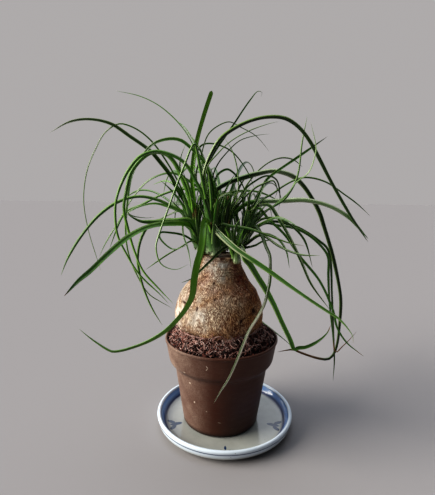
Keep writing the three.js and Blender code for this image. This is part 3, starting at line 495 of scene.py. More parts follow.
def filled(profile, spacing):
    """The profile with points added so that none lie further apart than the spacing."""
    run = np.concatenate([[0], np.cumsum(np.linalg.norm(np.diff(profile, axis=0), axis=1))])
    extra = np.concatenate([np.linspace(a, b, max(1, math.ceil((b - a) / spacing)), endpoint=False)
                            for a, b in zip(run, run[1:])] + [run[-1:]])
    return np.stack([np.interp(extra, run, profile[:, k]) for k in (0, 1)], -1)


def turned(profile, sides, x=0.0):
    """A profile of radius and height turned about an upright axis at x, closed at both ends."""
    rings = around(x, profile[1:-1, 0, None], circle(sides), profile[1:-1, 1, None])
    return closed(rings, (x, 0, profile[0, 1]), (x, 0, profile[-1, 1]))


def closed(rings, first, last):
    """Rings of points closed at both ends by a fan to one point: the points and the faces."""
    rows, columns = rings.shape[:2]
    here = np.arange(columns)
    there, top = (here + 1) % columns, (rows - 1) * columns
    low = np.stack([there, here, np.full(columns, rows * columns)], -1)
    high = np.stack([top + here, top + there, np.full(columns, rows * columns + 1)], -1)
    return np.vstack([rings.reshape(-1, 3), [first], [last]]), [sheet_faces(rows, columns), low, high]


def add_node(material, kind, *values, out=None, named=None, stops=(), **settings):
    """Adds a node and gives its first live output, or the one named. The kind may end in an operation.
    values go on the live inputs in order and named ones by name, and a socket among them is linked;
    settings go on the node, and stops are the places and colours of a ramp."""
    kind, _, operation = kind.partition(" ")
    made = material.node_tree.nodes.new("ShaderNode" + kind)
    if operation:
        made.operation = operation
    for key, value in settings.items():
        setattr(made, key, value)
    given = list(zip([socket for socket in made.inputs if socket.enabled], values))
    given += [(made.inputs[key], value) for key, value in (named or {}).items() if value is not None]
    for socket, value in given:
        if isinstance(value, bpy.types.NodeSocket):
            material.node_tree.links.new(value, socket)
        else:
            socket.default_value = linear(value) if socket.type == "RGBA" else value
    for index, (place, colour) in enumerate(stops):
        ramp = made.color_ramp.elements
        element = ramp[index] if index < len(ramp) else ramp.new(place)
        element.position, element.color = place, linear(colour)
    return next((socket for socket in made.outputs if socket.enabled and out in (None, socket.name)), None)


def new_material(name):
    """An empty material, and the function that adds a node to it."""
    material = bpy.data.materials.new(name)
    material.use_nodes = True
    material.node_tree.nodes.clear()
    return material, partial(add_node, material)


def layered(add, colour, *layers):
    """Colours laid one over the other: each layer is its mask and its colour."""
    for mask, over in layers:
        colour = add("Mix", mask, colour, over, data_type="RGBA")
    return colour


def finished(material, base, roughness, specular, relief=(), index=1.5):
    """The material with its shader: relief is layers of height, strength and depth in metres."""
    normal = None
    for height, strength, depth in relief:
        normal = add_node(material, "Bump", named={
            "Height": height, "Strength": strength, "Distance": depth, "Normal": normal})
    shader = add_node(material, "BsdfPrincipled", named={
        "Base Color": base, "Roughness": roughness, "Specular IOR Level": specular, "IOR": index,
        "Normal": normal})
    add_node(material, "OutputMaterial", shader)
    return material


# Forms

def trunk_outline(heights):
    """Radius and sideways shift of the trunk at heights, on one smooth curve through its outline."""
    fine = spline(TRUNK[:, [1, 2, 0]], np.linspace(0, 1, OUTLINE_STEPS))
    return np.interp(heights, fine[:, 2], fine[:, 0]), np.interp(heights, fine[:, 2], fine[:, 1])


def trunk_surface(height, angle, grow=0.0):
    """The trunk's skin: its outline, flatter front to back above the soil, with low swellings and a
    crease in front, as the solid has it."""
    radius, shift = trunk_outline(height)
    bare = smoothstep(height, *TRUNK_BARE)
    belly = bare * (1 - smoothstep(height, *TRUNK_SHOULDER))
    crease = 1.8 * np.exp(-(degrees_from(angle, CREASE_ANGLE) / 11) ** 2)
    swell = 0.7 * np.sin(3 * angle + height * 0.05) + 0.5 * np.sin(5 * angle - height * 0.09)
    r = radius + grow + belly * (swell * np.abs(np.sin(angle)) - crease)
    return np.stack([shift + r * np.cos(angle), (1 - TRUNK_FLAT * bare) * r * np.sin(angle),
                     height + 0 * angle], -1)


def soil_height(x, y):
    """Height of the soil: level at the wall, heaped against the trunk, rough."""
    out, angle = np.hypot(x - POT_X, y), np.arctan2(y, x - POT_X)
    heap = (1 - smoothstep(out, 38, 58)) * SOIL_HEAP
    return SOIL_EDGE + heap + 0.7 * np.sin(7 * angle + out * 0.9) * np.sin(out * 0.55 + 2 * angle)


def spline(points, shares):
    """Centripetal Catmull-Rom curve through the points, at shares from 0 to 1 of their count: each
    stretch is a cubic whose end slopes weigh the points on both sides by the root of their spacing."""
    padded = np.vstack([2 * points[0] - points[1], points, 2 * points[-1] - points[-2]])
    p0, p1, p2, p3, w = stretch_at(padded, np.clip(shares, 0, 1))
    d0, d1, d2 = (np.maximum(np.sum((b - a) ** 2, axis=1, keepdims=True), 1e-12) ** 0.25
                  for a, b in ((p0, p1), (p1, p2), (p2, p3)))
    start = ((p1 - p0) / d0 - (p2 - p0) / (d0 + d1) + (p2 - p1) / d1) * d1
    end = ((p2 - p1) / d1 - (p3 - p1) / (d1 + d2) + (p3 - p2) / d2) * d1
    return (p1 + start * w + (3 * (p2 - p1) - 2 * start - end) * w ** 2
            + (2 * (p1 - p2) + start + end) * w ** 3)


def stretch_at(padded, shares):
    """The four points round each share of the way through points padded at both ends, and how far
    along the stretch between the middle two it lies."""
    place = shares * (len(padded) - 3)
    i = np.minimum(place.astype(int), len(padded) - 4)
    return *(padded[i + k] for k in range(4)), (place - i)[:, None]


def evenly(points, shares):
    """Points of the curve at shares of its length, and the length."""
    grid = np.linspace(0, 1, LENGTH_STEPS)
    run = np.linalg.norm(np.diff(spline(points, grid), axis=0), axis=1)
    run = np.concatenate([[0], np.cumsum(run)])
    return spline(points, np.interp(shares * run[-1], run, grid)), run[-1]


def towards(across, up, depth):
    """Points drawn on the plane, slid along the line of sight to their depth towards the eye."""
    drawn = np.stack([across, 0 * across, up], -1)
    return EYE + (drawn - EYE) * (1 + depth / EYE[1])[..., None]


def on_axis(head, share):
    """The point of a head's axis at a share of its height."""
    share = np.asarray(share)[..., None]
    return np.array(head[0], float) * (1 - share) + np.array(head[1], float) * share


def root_point(head, first_height):
    """The point of a head's axis that a leaf starts from, a little below its first free point."""
    share = (first_height - ROOT_DROP - head[0][2]) / (head[1][2] - head[0][2])
    return on_axis(head, np.clip(share, *ROOT_SHARES))


def drawn_leaf(head, route):
    """A leaf's points in space, its depth even between where it is known."""
    width, tip, tip_depth, *drawn = route
    root_depth = -(head[0][1] + head[1][1]) / 2
    across, up = np.array([point[:2] for point in drawn], float).T
    first = towards(across[:1], up[:1], np.array([root_depth]))[0]
    start = root_point(head, first[2])
    run = np.cumsum(np.hypot(np.diff(across, prepend=start[0]), np.diff(up, prepend=start[2])))
    known = [(0.0, root_depth)] + [(at, point[2]) for at, point in zip(run, drawn) if len(point) > 2]
    if len(drawn[-1]) < 3:
        known.append((run[-1], tip_depth))
    depth = np.interp(run, *np.array(known, float).T)
    return width, tip, np.vstack([start, towards(across, up, depth)])


def draws():
    """Seeded draws from 0 to 1, by the same rule as the solids."""
    state = SEED
    while True:
        state = (state * 1664525 + 1013904223) & 0xFFFFFFFF
        yield state / 0x100000000


def bent_leaf(head, rule, draw):
    """An unseen leaf: it leaves its head at its rise and bends down evenly along its length."""
    _, heading, spread, length, width, rise = rule
    way = math.radians(heading + spread * (2 * next(draw) - 1))
    long = length * (0.8 + 0.4 * next(draw))
    first = math.radians(rise + 12 * (2 * next(draw) - 1))
    droop = UNSEEN_DROOP * (long / 150) * (0.8 + 0.4 * next(draw))
    start = root_point(head, head[1][2] - 4 * next(draw))
    bend = droop * (0.5 + np.arange(UNSEEN_STEPS - 1) / UNSEEN_STEPS) / UNSEEN_STEPS
    slope = np.maximum(first - np.concatenate([[0], np.cumsum(bend)]), math.radians(UNSEEN_STEEPEST))
    steps = np.stack([np.cos(slope) * math.cos(way), np.cos(slope) * math.sin(way), np.sin(slope)], -1)
    path = np.vstack([start, start + np.cumsum(steps * long / UNSEEN_STEPS, axis=0)])
    return width, UNSEEN_TIP * width, path


def half_width(width, tip, share):
    """A leaf's half width at a share of its length: full at the root and ever faster to the tip's."""
    return (tip + (width - tip) * (1 - share ** LEAF_TAPER)) / 2


def all_leaves():
    """Every leaf: its head and place there, its points, coarse even ones as in the solids, and twist."""
    draw, leaves = draws(), []
    for name, head in HEADS.items():
        made = [drawn_leaf(head, route) for route in ROUTES[name]]
        made += [bent_leaf(head, rule, draw) for rule in UNSEEN[name] for _ in range(rule[0])]
        for place, (width, tip, path) in enumerate(made):
            _, length = evenly(path, np.array([1.0]))
            steps = int(np.clip(math.floor(length / LEAF_STEP + 0.5), *LEAF_STEPS))
            shares = np.linspace(0, 1, steps + 1)
            turn = math.radians(LEAF_TWIST[0] + (LEAF_TWIST[1] - LEAF_TWIST[0]) * next(draw))
            leaves.append({"head": name, "key": (name, place), "path": path, "length": length,
                           "coarse": evenly(path, shares)[0], "half": half_width(width, tip, shares),
                           "width": width, "tip": tip, "twist": turn if len(leaves) % 2 else -turn})
    return leaves


def nearest(a0, a1, b0, b1):
    """The two nearest points of pairs of stretches, as shares of their lengths."""
    a, b, r = a1 - a0, b1 - b0, a0 - b0
    aa, bb, ab, ar, br = (np.sum(p * q, axis=1) for p, q in ((a, a), (b, b), (a, b), (a, r), (b, r)))
    square = aa * bb - ab * ab
    s = np.where(square > 1e-9, np.clip((ab * br - ar * bb) / np.maximum(square, 1e-9), 0, 1), 0.5)
    t = np.clip((ab * s + br) / bb, 0, 1)
    return np.clip((ab * t - ar) / aa, 0, 1), t


def between(values, start, share):
    """Values at a share of the way from each start to the next."""
    return values[start] + (values[start + 1] - values[start]) * share


def keep_out(height):
    """Radius that the trunk or the pot takes up at heights, 0 above both, and where its axis stands."""
    radius, shift = trunk_outline(height)
    top = POT_RIM_HEIGHT + 3
    share = np.maximum(0, (height - SAUCER_FLOOR) / (top - SAUCER_FLOOR))
    wall = POT_BASE + (POT_RIM_RADIUS - POT_BASE) * share
    pot = np.where(height > POT_COLLAR[1] - 6, POT_RIM_RADIUS, wall)
    radius = np.where(height > top, np.where(height > TRUNK_TOP, 0, radius), pot)
    return radius, np.where(height > top, shift, POT_X)


def bend_clear(leaves):
    """Bends leaves of different heads clear of each other, a little at a time, as the solids are: two
    stretches closer than their half widths and a clearance push each other apart, mostly forwards and
    back, and their neighbours a little. Points in the trunk or the pot then move half the way out."""
    names, cores = list(HEADS), list(HEADS.values())
    counts = np.array([len(leaf["coarse"]) for leaf in leaves] + [2] * len(cores))
    points = np.vstack([leaf["coarse"] for leaf in leaves] + [np.array(core[:2], float) for core in cores])
    half = np.concatenate([leaf["half"] for leaf in leaves] + [core[2] for core in cores])
    family = np.array([names.index(leaf["head"]) for leaf in leaves] + list(range(len(cores))))
    owner = np.repeat(np.arange(len(counts)), counts)
    here = np.arange(len(points))
    step = here - (np.cumsum(counts) - counts)[owner]
    last = step == counts[owner] - 1
    before, after = np.where(step > 0, here - 1, here), np.where(last, here, here + 1)
    moving = owner < len(leaves)
    free = np.where(moving, np.minimum(1, step / 2), 0)[:, None]
    starts = here[~last]
    one, two = starts[np.array(np.triu_indices(len(starts), 1))]
    apt = (family[owner[one]] != family[owner[two]]) & (moving[one] | moving[two])
    one, two = one[apt], two[apt]
    for _ in range(BEND_ROUNDS):
        middle = (points + points[after]) / 2
        reach = np.linalg.norm(points[after] - points, axis=1) / 2
        near = reach[one] + reach[two] + BEND_REACH
        close = np.sum((middle[one] - middle[two]) ** 2, axis=1) <= near ** 2
        i, j = one[close], two[close]
        s, t = nearest(points[i], points[i + 1], points[j], points[j + 1])
        apart = between(points, i, s[:, None]) - between(points, j, t[:, None])
        need = between(half, i, s) + between(half, j, t) + CLEARANCE
        distance = np.linalg.norm(apart, axis=1)
        hit = distance < need
        i, j, s, t, apart = i[hit], j[hit], s[hit, None], t[hit, None], apart[hit]
        apart[:, 1] = 3 * apart[:, 1] + np.where(apart[:, 1] < 0, -1, 1)
        apart = unit(apart) * ((need - distance)[hit, None] / 2 + 0.05)
        push = np.zeros_like(points)
        for place, share in ((i, 1 - s), (i + 1, s), (j, t - 1), (j + 1, -t)):
            np.add.at(push, place, apart * share)
        points = points + free * (PUSH_OWN * push + PUSH_NEXT * push[before] + PUSH_NEXT * push[after])
        radius, shift = keep_out(points[:, 2])
        away = np.stack([points[:, 0] - shift, points[:, 1]], -1)
        out = np.linalg.norm(away, axis=1)
        short = radius + half + 2 * CLEARANCE - out
        short = np.where(moving & (step > 1) & (radius > 0) & (short > 0), short, 0)
        points[:, :2] += 0.5 * (short / out)[:, None] * away
        if not hit.any():
            break
    for leaf, part in zip(leaves, np.split(points, np.cumsum(counts)[:-1])):
        leaf["moved"] = part - leaf["coarse"]


def fine_paths(leaves, rings):
    """Each leaf's curve at even shares of its length, with the bends of its coarse points carried over
    smoothly: cubics between them, whose slopes are half the difference of their neighbours."""
    shares = np.linspace(0, 1, rings)
    paths = []
    for leaf in leaves:
        moved = leaf["moved"]
        p0, p1, p2, p3, w = stretch_at(np.vstack([moved[:1], moved, moved[-1:]]), shares)
        bend = 2 * p0 - 5 * p1 + 4 * p2 - p3 + w * (3 * (p1 - p2) + p3 - p0)
        paths.append(evenly(leaf["path"], shares)[0] + p1 + 0.5 * w * (p2 - p0 + w * bend))
    return np.array(paths)


def furthest(paths):
    """Each path's furthest reach from its start, seen from above."""
    flat = paths[:, :, :2] - paths[:, :1, :2]
    return flat[np.arange(len(flat)), np.argmax(np.linalg.norm(flat, axis=2), axis=1)]


def straps(paths, halves, twists, fold, thickness, values, sides=None):
    """Strap leaves, their faces and their values: the cross section carried along each path. It starts
    level, square to the leaf's furthest reach, is carried along without turning about itself, and is
    then twisted evenly."""
    along = unit(np.gradient(paths, axis=1))
    if sides is None:
        reach = furthest(paths)
        sides = np.stack([reach[:, 1], -reach[:, 0], 0 * reach[:, 0]], -1)
    side, carried = unit(sides), np.empty_like(paths)
    for ring in range(paths.shape[1]):
        side = unit(side - along[:, ring] * np.sum(side * along[:, ring], axis=1, keepdims=True))
        carried[:, ring] = side
    across = carried * np.cos(twists)[..., None] + np.cross(along, carried) * np.sin(twists)[..., None]
    half, deep, thick = (part[:, :, None, None] for part in (halves, halves * fold, thickness))
    points = (paths[:, :, None] + across[:, :, None] * half * STRAP[:, 0, None]
              + np.cross(along, across)[:, :, None] * (deep * STRAP[:, 1, None] + thick * STRAP[:, 2, None]))
    values = {"across": STRAP[:, 0], **{key: value[..., None] for key, value in values.items()}}
    values = {key: np.broadcast_to(value, points.shape[:3]) for key, value in values.items()}
    return points, tube_faces(*points.shape[:3]), values


# Finishes

def glaze_material(settings):
    """Glazed stoneware, dipped and painted under the glaze: a clear wet gloss over an off-white body with
    fine iron specks, a blue band inside the wall, a thin dark line under the lip and five sprigs, of
    which the front one is small."""
    material, add = new_material("glazed_stoneware")
    place = add("TexCoord", out="Object")
    x, y, height = (add("SeparateXYZ", place, out=axis) for axis in "XYZ")
    radius = add("VectorMath LENGTH", add("VectorMath MULTIPLY", place, (1, 1, 0)))
    angle = add("Math ARCTAN2", y, x)

    # Cloudy variation of the dipped body, 12 mm across, and iron specks of about 0.5 mm. Below the wall the
    # floor is grey: painted shade from the wall and the pot.
    cloud = add("TexNoise", place, 80.0, 4.0)
    upper = add("MapRange", height, 0.0056, 0.0085)
    speck = add("Math LESS_THAN", add("TexVoronoi", place, 420.0, out="Distance"), 0.16)
    speck = add("Math MULTIPLY", speck, add("MapRange", add("TexNoise", place, 300.0), 0.62, 0.66))

    # Blue brushed on the inside of the wall: streaks 4 mm high that run round it, denser at the foot.
    streaks = add("VectorMath MULTIPLY", add("CombineXYZ", angle, height), (2.0, 260.0, 1.0))
    wash = add("TexNoise", streaks, 1.0, 3.0)
    foot = add("MapRange", height, 0.0098, 0.0068)
    blue = layered(add, settings.blue, (wash, "#8fb4e0"), (foot, "#0e1f4c"))

    # The bounds of that blue, and of the thin line outside just under the lip, where the glaze thins:
    # the height it starts at, the height it ends at and the radius it ends at, each with a soft edge.
    rings = []
    for low, high, edge in (((0.0054, 0.0062), (0.0142, 0.0128), (0.0712, 0.0702)),
                            ((0.0105, 0.0109), (0.0119, 0.0115), (0.0716, 0.0722))):
        ring = add("Math MULTIPLY", add("MapRange", height, *low), add("MapRange", height, *high))
        rings.append(add("Math MULTIPLY", ring, add("MapRange", radius, *edge)))
    inside, line = rings

    # Five sprigs on the floor, the first at the front: the plane is folded to one fifth, and each of
    # the three strokes is an ellipse there, ragged by 1 mm. Wear makes the front sprig small.
    fifth = add("Math WRAP", add("Math ADD", angle, math.pi / 2), math.pi / 5, -math.pi / 5)
    folded = add("CombineXYZ", *(add("Math MULTIPLY", add("Math " + way, fifth), radius)
                                 for way in ("COSINE", "SINE")))
    ragged = add("TexNoise", place, 900.0)
    worn = add("MapRange", y, -0.040, -0.044, 1.0, 1.9)
    strokes = []
    for centre, turn, size in SPRIG:
        local = add("Mapping", folded, centre, (0, 0, turn), size, vector_type="TEXTURE")
        reach = add("Math MULTIPLY_ADD", ragged, 0.35, add("VectorMath LENGTH", local))
        reach = add("Math MULTIPLY", reach, worn)
        strokes.append(add("MapRange", reach, 1.25, 1.05))
    stroke = add("Math MAXIMUM", add("Math MAXIMUM", *strokes[:2]), strokes[2])
    stroke = add("Math MULTIPLY", stroke, add("MapRange", height, 0.0075, 0.0055))
    ink = layered(add, "#0a1d36", (wash, "#1b3960"))
    # The greys under the body colour are painted shade on the floor.
    base = layered(add, "#a7aaa4", (cloud, "#8a8d88"), (upper, settings.body), (speck, "#6d675c"),
                   (inside, blue), (line, "#2c3f66"), (stroke, ink))
    return finished(material, base, 0.12, 0.5, [(cloud, 0.25, 0.0006)], index=1.52)


def plastic_material(settings):
    """Moulded polypropylene, satin from a worn mould: a soft broad highlight, a pale dusty layer with dried
    splashes that is laid on far thicker towards the window as painted light, scuffs that run round the pot
    and a few fine scratches and specks."""
    material, add = new_material("moulded_polypropylene")
    place = add("TexCoord", out="Object")
    x, y, height = (add("SeparateXYZ", place, out=axis) for axis in "XYZ")

    # Uneven colour of the recycled plastic, 30 mm across.
    cloud = add("TexNoise", place, 32.0, 5.0)

    # Dusty layer: patches 18 mm across, broken up every 1 mm, a little thicker on the collar, and far thicker
    # on the side towards the window, which is painted light.
    broad = add("TexNoise", place, 55.0, 8.0, 0.65)
    fine = add("TexNoise", place, 900.0, 3.0)
    film_and_painted_light = add("Math MULTIPLY", add("MapRange", broad, 0.15, 0.75), add("MapRange", fine, 0.1, 0.75))
    # Paler on the left, towards the window: painted light.
    side = add("MapRange", x, -0.012, -0.052)
    weight = add("Math MULTIPLY_ADD", add("MapRange", height, 0.072, 0.079), 0.04, side)
    weight = add("Math MULTIPLY_ADD", weight, settings.dust_and_painted_light, 0.03)
    film_and_painted_light = add("Math MULTIPLY", film_and_painted_light, weight, use_clamp=True)

    # Scuffs: long thin marks round the pot, 0.6 mm high and some 15 mm long.
    angle = add("Math ARCTAN2", y, add("Math ADD", x, -POT_X * MM))
    strip = add("VectorMath MULTIPLY", add("CombineXYZ", angle, height), (3.5, 1500.0, 1.0))
    scuff = add("MapRange", add("TexNoise", strip, 1.0, 2.0), 0.60, 0.78)
    scuff = add("Math MULTIPLY", scuff, 0.16)
    base = layered(add, settings.colour, (cloud, "#3c2015"), (film_and_painted_light, "#ae9888"), (scuff, "#8d7466"))

    # Pale specks of dried compost and one short hairline scratch on the collar's lower edge.
    for centre, turn, size, strength in SPECKS:
        local = add("Mapping", place, centre, (0, turn, 0), size, vector_type="TEXTURE")
        mask = add("MapRange", add("VectorMath LENGTH", local), 1.2, 0.7)
        base = layered(add, base, (add("Math MULTIPLY", mask, strength), "#c9b9a6"))

    # Painted shade at the foot, 5 mm high, where the base turns under and the arches leave dark gaps.
    base = layered(add, base, (add("MapRange", height, 0.0115, 0.0065), "#1c0f0a"))
    rough = add("MapRange", film_and_painted_light, 0.0, 0.6, 0.46, 0.8)
    relief = [(cloud, 0.3, 0.0010), (fine, 0.12, 0.0002), (scuff, 0.2, 0.0002)]
    return finished(material, base, rough, 0.22, relief)


def soil_material(name, tones, roughness):
    """Coir and composted bark: dull and dry, with no highlight. Each crumb has its own tone and is darkened
    in its hollows as painted shade; the grain is 0.8 mm."""
    material, add = new_material(name)
    grain = add("TexNoise", add("TexCoord", out="Object"), 1200.0, 4.0)
    clean = add("ValToRGB", add("Attribute", attribute_name="tone", out="Fac"), stops=tones)
    # Darker where the grain is low, in the hollows of its relief: painted shade.
    base = layered(add, clean, (0.65, "#120a07"), (add("MapRange", grain, 0.35, 0.7), clean))
    return finished(material, base, roughness, 0.25, [(grain, 0.6, 0.0005)])


def bark_material(settings):
    """Corky bark of a young caudex: dry and matt, creased all over by fine upright dashes about 0.9 by 4 mm
    and a faint net of plates, cream where it is young, warm tan on the right of the belly, silvery on the
    neck and the front, partly painted highlights there, flushed red-brown on the shoulder, with dark healed
    marks and painted shade round the neck under the heads."""
    material, add = new_material("corky_bark")
    place = add("TexCoord", out="Object")
    given = {name: add("Attribute", attribute_name=name, out="Fac")
             for name in (*BARK_COLOURS, "cracked", "scar")}

    # Patterns, bent by up to 8 mm every 17 mm so that none runs straight: plates of 1.4 by 5 mm with
    # tones of their own, patches of 22 mm, dashes of 0.9 by 3.4 mm and flecks of 1.4 mm.
    drift = add("VectorMath SUBTRACT", add("TexNoise", place, 60.0, 2.0, out="Color"), (0.5, 0.5, 0.5))
    bent = add("VectorMath ADD", place, add("VectorMath MULTIPLY", drift, (0.016, 0.016, 0.004)))
    tall = add("VectorMath MULTIPLY", bent, (1.0, 1.0, 0.27))
    plates = add("TexVoronoi", tall, 700.0, feature="DISTANCE_TO_EDGE")
    toned = add("SeparateColor", add("TexVoronoi", tall, 700.0, out="Color"))
    large = add("TexNoise", place, 45.0, 5.0)
    dash = add("TexNoise", tall, 1100.0, 2.0)
    flecks = add("TexNoise", bent, 700.0, 3.0)

    base = layered(add, settings.tan, (add("MapRange", large, 0.38, 0.62), settings.pale),
                   *((given[name], colour) for name, colour in BARK_COLOURS.items()))
    base = add("VectorMath SCALE", base, add("MapRange", toned, 0.0, 1.0, 0.7, 1.25))

    # Where a pattern lies between two values, times how strongly the skin shows it.
    creases, cracks, bits, pits, edges = (
        add("Math MULTIPLY", add("MapRange", pattern, low, high), given[name])
        for pattern, low, high, name in ((dash, 0.54, 0.46, "cracked"), (plates, 0.11, 0.02, "cracked"),
                                         (flecks, 0.60, 0.68, "ruddy"), (flecks, 0.36, 0.30, "flush"),
                                         (plates, 0.0, 0.2, "cracked")))
    creased = layered(add, base, (0.9, settings.fissure))
    # The colour of the scars also lays the painted shade round the neck.
    shown = layered(add, base, (creases, creased), (cracks, settings.fissure), (bits, "#2e120d"),
                    (pits, "#f0dccb"), (given["scar"], "#2f150d"))
    return finished(material, shown, 0.78, 0.12, [(edges, 0.6, 0.0005), (dash, 1.0, 0.0009)])


def leaf_material(settings):
    """Leathery strap leaf with a waxy skin: a soft satin highlight along the channel, fine parallel veins and
    lighter edges that are partly a painted sheen, pale at the clasping base, with a painted sheen and white
    margins where a stretch is pale, and dry and brown where a tip has died back."""
    material, add = new_material("waxy_leaf")
    across, tone, root, blush, dry = (add("Attribute", attribute_name=name, out="Fac")
                                      for name in ("across", "tone", "root", "blush", "dry"))
    cloud = add("TexNoise", add("TexCoord", out="Object"), 130.0, 3.0)
    base = add("ValToRGB", add("Math MULTIPLY_ADD", cloud, 0.35, tone),
               stops=[(0.12, settings.dark), (0.6, settings.fresh), (1.0, settings.bright)])
    vein = add("MapRange", add("Math SINE", add("Math MULTIPLY", across, 24.0)), -1.0, 1.0)
    side = add("Math ABSOLUTE", across)
    # White margins: the pale foot of a leaf, and painted sheen along pale stretches.
    white = add("Math MULTIPLY", add("MapRange", side, 0.4, 0.7), blush)
    # Lighter edges: partly the leaf's own lighter edge, partly a painted sheen that brightens the crown.
    margin_and_sheen = add("Math MULTIPLY", add("MapRange", side, 0.6, 1.0), 0.55)
    brown = layered(add, "#7a5a34", (cloud, "#4d3620"))
    base = layered(add, base, (add("Math MULTIPLY", vein, 0.10), "#5d8a2c"), (margin_and_sheen, "#8fb25c"),
                   (root, "#9dbb88"), (white, "#e9e6cc"), (dry, brown))
    rough = add("MapRange", dry, 0.0, 1.0, 0.27, 0.8)
    return finished(material, base, rough, 0.3, [(vein, 0.10, 0.0001)])


# Sizes and colours that a user may change

def paint(name, description, code):
    """A colour that a user may change and that starts as a hex colour."""
    return bpy.props.FloatVectorProperty(name=name, description=description, default=linear(code)[:3],
                                         size=3, min=0, max=1, subtype="COLOR")


def number(name, description, default, low, high, **more):
    """A number that a user may change, a whole one where its default is whole."""
    kind = bpy.props.IntProperty if isinstance(default, int) else bpy.props.FloatProperty
    return kind(name=name, description=description, default=default, min=low, max=high, **more)


class SaucerSettings(bpy.types.PropertyGroup):
    """The glazed saucer."""
    body: paint("Body", "Colour of the stoneware under its clear glaze", "#c9d6e1")
    blue: paint("Blue", "Colour of the band brushed inside the wall", "#3b6cbc")
    sides: number("Sides", "Steps round the saucer", 256, 64, 512)


class PotSettings(bpy.types.PropertyGroup):
    """The nursery pot."""
    colour: paint("Plastic", "Colour of the clean plastic", "#472417")
    # Scales the dusty layer, and with it the painted light that makes the window side paler.
    dust_and_painted_light: number("Dust", "How much dust lies on the pot", 0.9, 0, 1, subtype="FACTOR")
    sides: number("Sides", "Steps round the pot", 240, 64, 512)


class SoilSettings(bpy.types.PropertyGroup):
    """The potting soil."""
    crumb: number("Crumb size", "Typical size of a crumb of bark", 0.0026, 0.001, 0.006, unit="LENGTH")
    crumbs: number("Crumbs", "Crumbs of bark and coir", 3200, 0, 6000)
    fibres: number("Fibres", "Loose coir fibres", 1000, 0, 1200)


class CaudexSettings(bpy.types.PropertyGroup):
    """The swollen trunk."""
    pale: paint("Pale bark", "Colour of the young bark", "#d3c2a6")
    tan: paint("Tan bark", "Colour of the older bark", "#b68752")
    fissure: paint("Fissures", "Colour in the cracks", "#54301d")
    relief: number("Relief", "Height of the bark's lumps", 0.0005, 0, 0.001, unit="LENGTH")


class LeafSettings(bpy.types.PropertyGroup):
    """The leaves."""
    dark: paint("Dark leaf", "Colour of the darkest leaves", "#0b1c06")
    fresh: paint("Leaf", "Colour of most leaves", "#285316")
    # The lightest tone also stands for leaves lit through from the window: painted light.
    bright: paint("Young leaf", "Colour of the youngest leaves", "#679d2c")
    thickness: number("Thickness", "Thickness along the middle of a leaf", 0.00045, 0.0002, 0.001,
                      unit="LENGTH")
    rings: number("Rings", "Cross sections of a leaf", 80, 24, 120)


class StageSettings(bpy.types.PropertyGroup):
    """The floor, the lights and the camera."""
    floor: paint("Floor", "Colour of the floor", "#8c8a8b")
    key: number("Key light", "Strength of the soft light on the left", 6.0, 0, 20)
    fill: number("Fill", "Strength of the even light all round", 0.46, 0, 2, subtype="FACTOR")


# Saucer and pot

def arc(centre, height, radius, first, last, steps):
    """Points of a profile on an arc, from the first to the last angle in degrees."""
    turn = np.radians(np.linspace(first, last, steps))
    return np.stack([centre + radius * np.cos(turn), height + radius * np.sin(turn)], -1)


class PONYTAIL_OT_saucer(bpy.types.Operator):
    """Build the glazed saucer"""
    bl_idname = "ponytail.saucer"
    bl_label = "Saucer"

    def execute(self, context):
        """The profile of the foot, the flared wall, the round lip and the floor, turned; the wheel leaves
        a slight waver of a tenth of a millimetre in the lip."""
        settings = context.scene.ponytail_saucer
        lip = arc(*SAUCER_LIP, -25, 190, 22)
        outside = rounded([(SAUCER_FOOT, 0.0), *SAUCER_OUTSIDE, lip[0]], 1.2)
        inside = rounded([lip[-1], *SAUCER_INSIDE, (SAUCER_WELL, SAUCER_FLOOR)], 1.6)
        profile = np.vstack([(0, 0), (20, 0), (50, 0), outside[:-1], lip, inside[1:],
                             *((reach, SAUCER_FLOOR) for reach in (40, 20, 0))])
        points, faces = turned(filled(profile, 2.0), settings.sides)
        angle = np.arctan2(points[:, 1], points[:, 0])
        lift = smoothstep(points[:, 2], 6, 13)
        points[:, :2] *= 1 - 0.0008 * (1 + np.sin(2 * angle + 0.6))[:, None] * lift[:, None]
        points[:, 2] -= 0.06 * (1 + np.sin(3 * angle)) * lift
        add_piece("saucer_glazed", points, faces, glaze_material(settings), "saucer", "saucer_glaze")
        return {"FINISHED"}


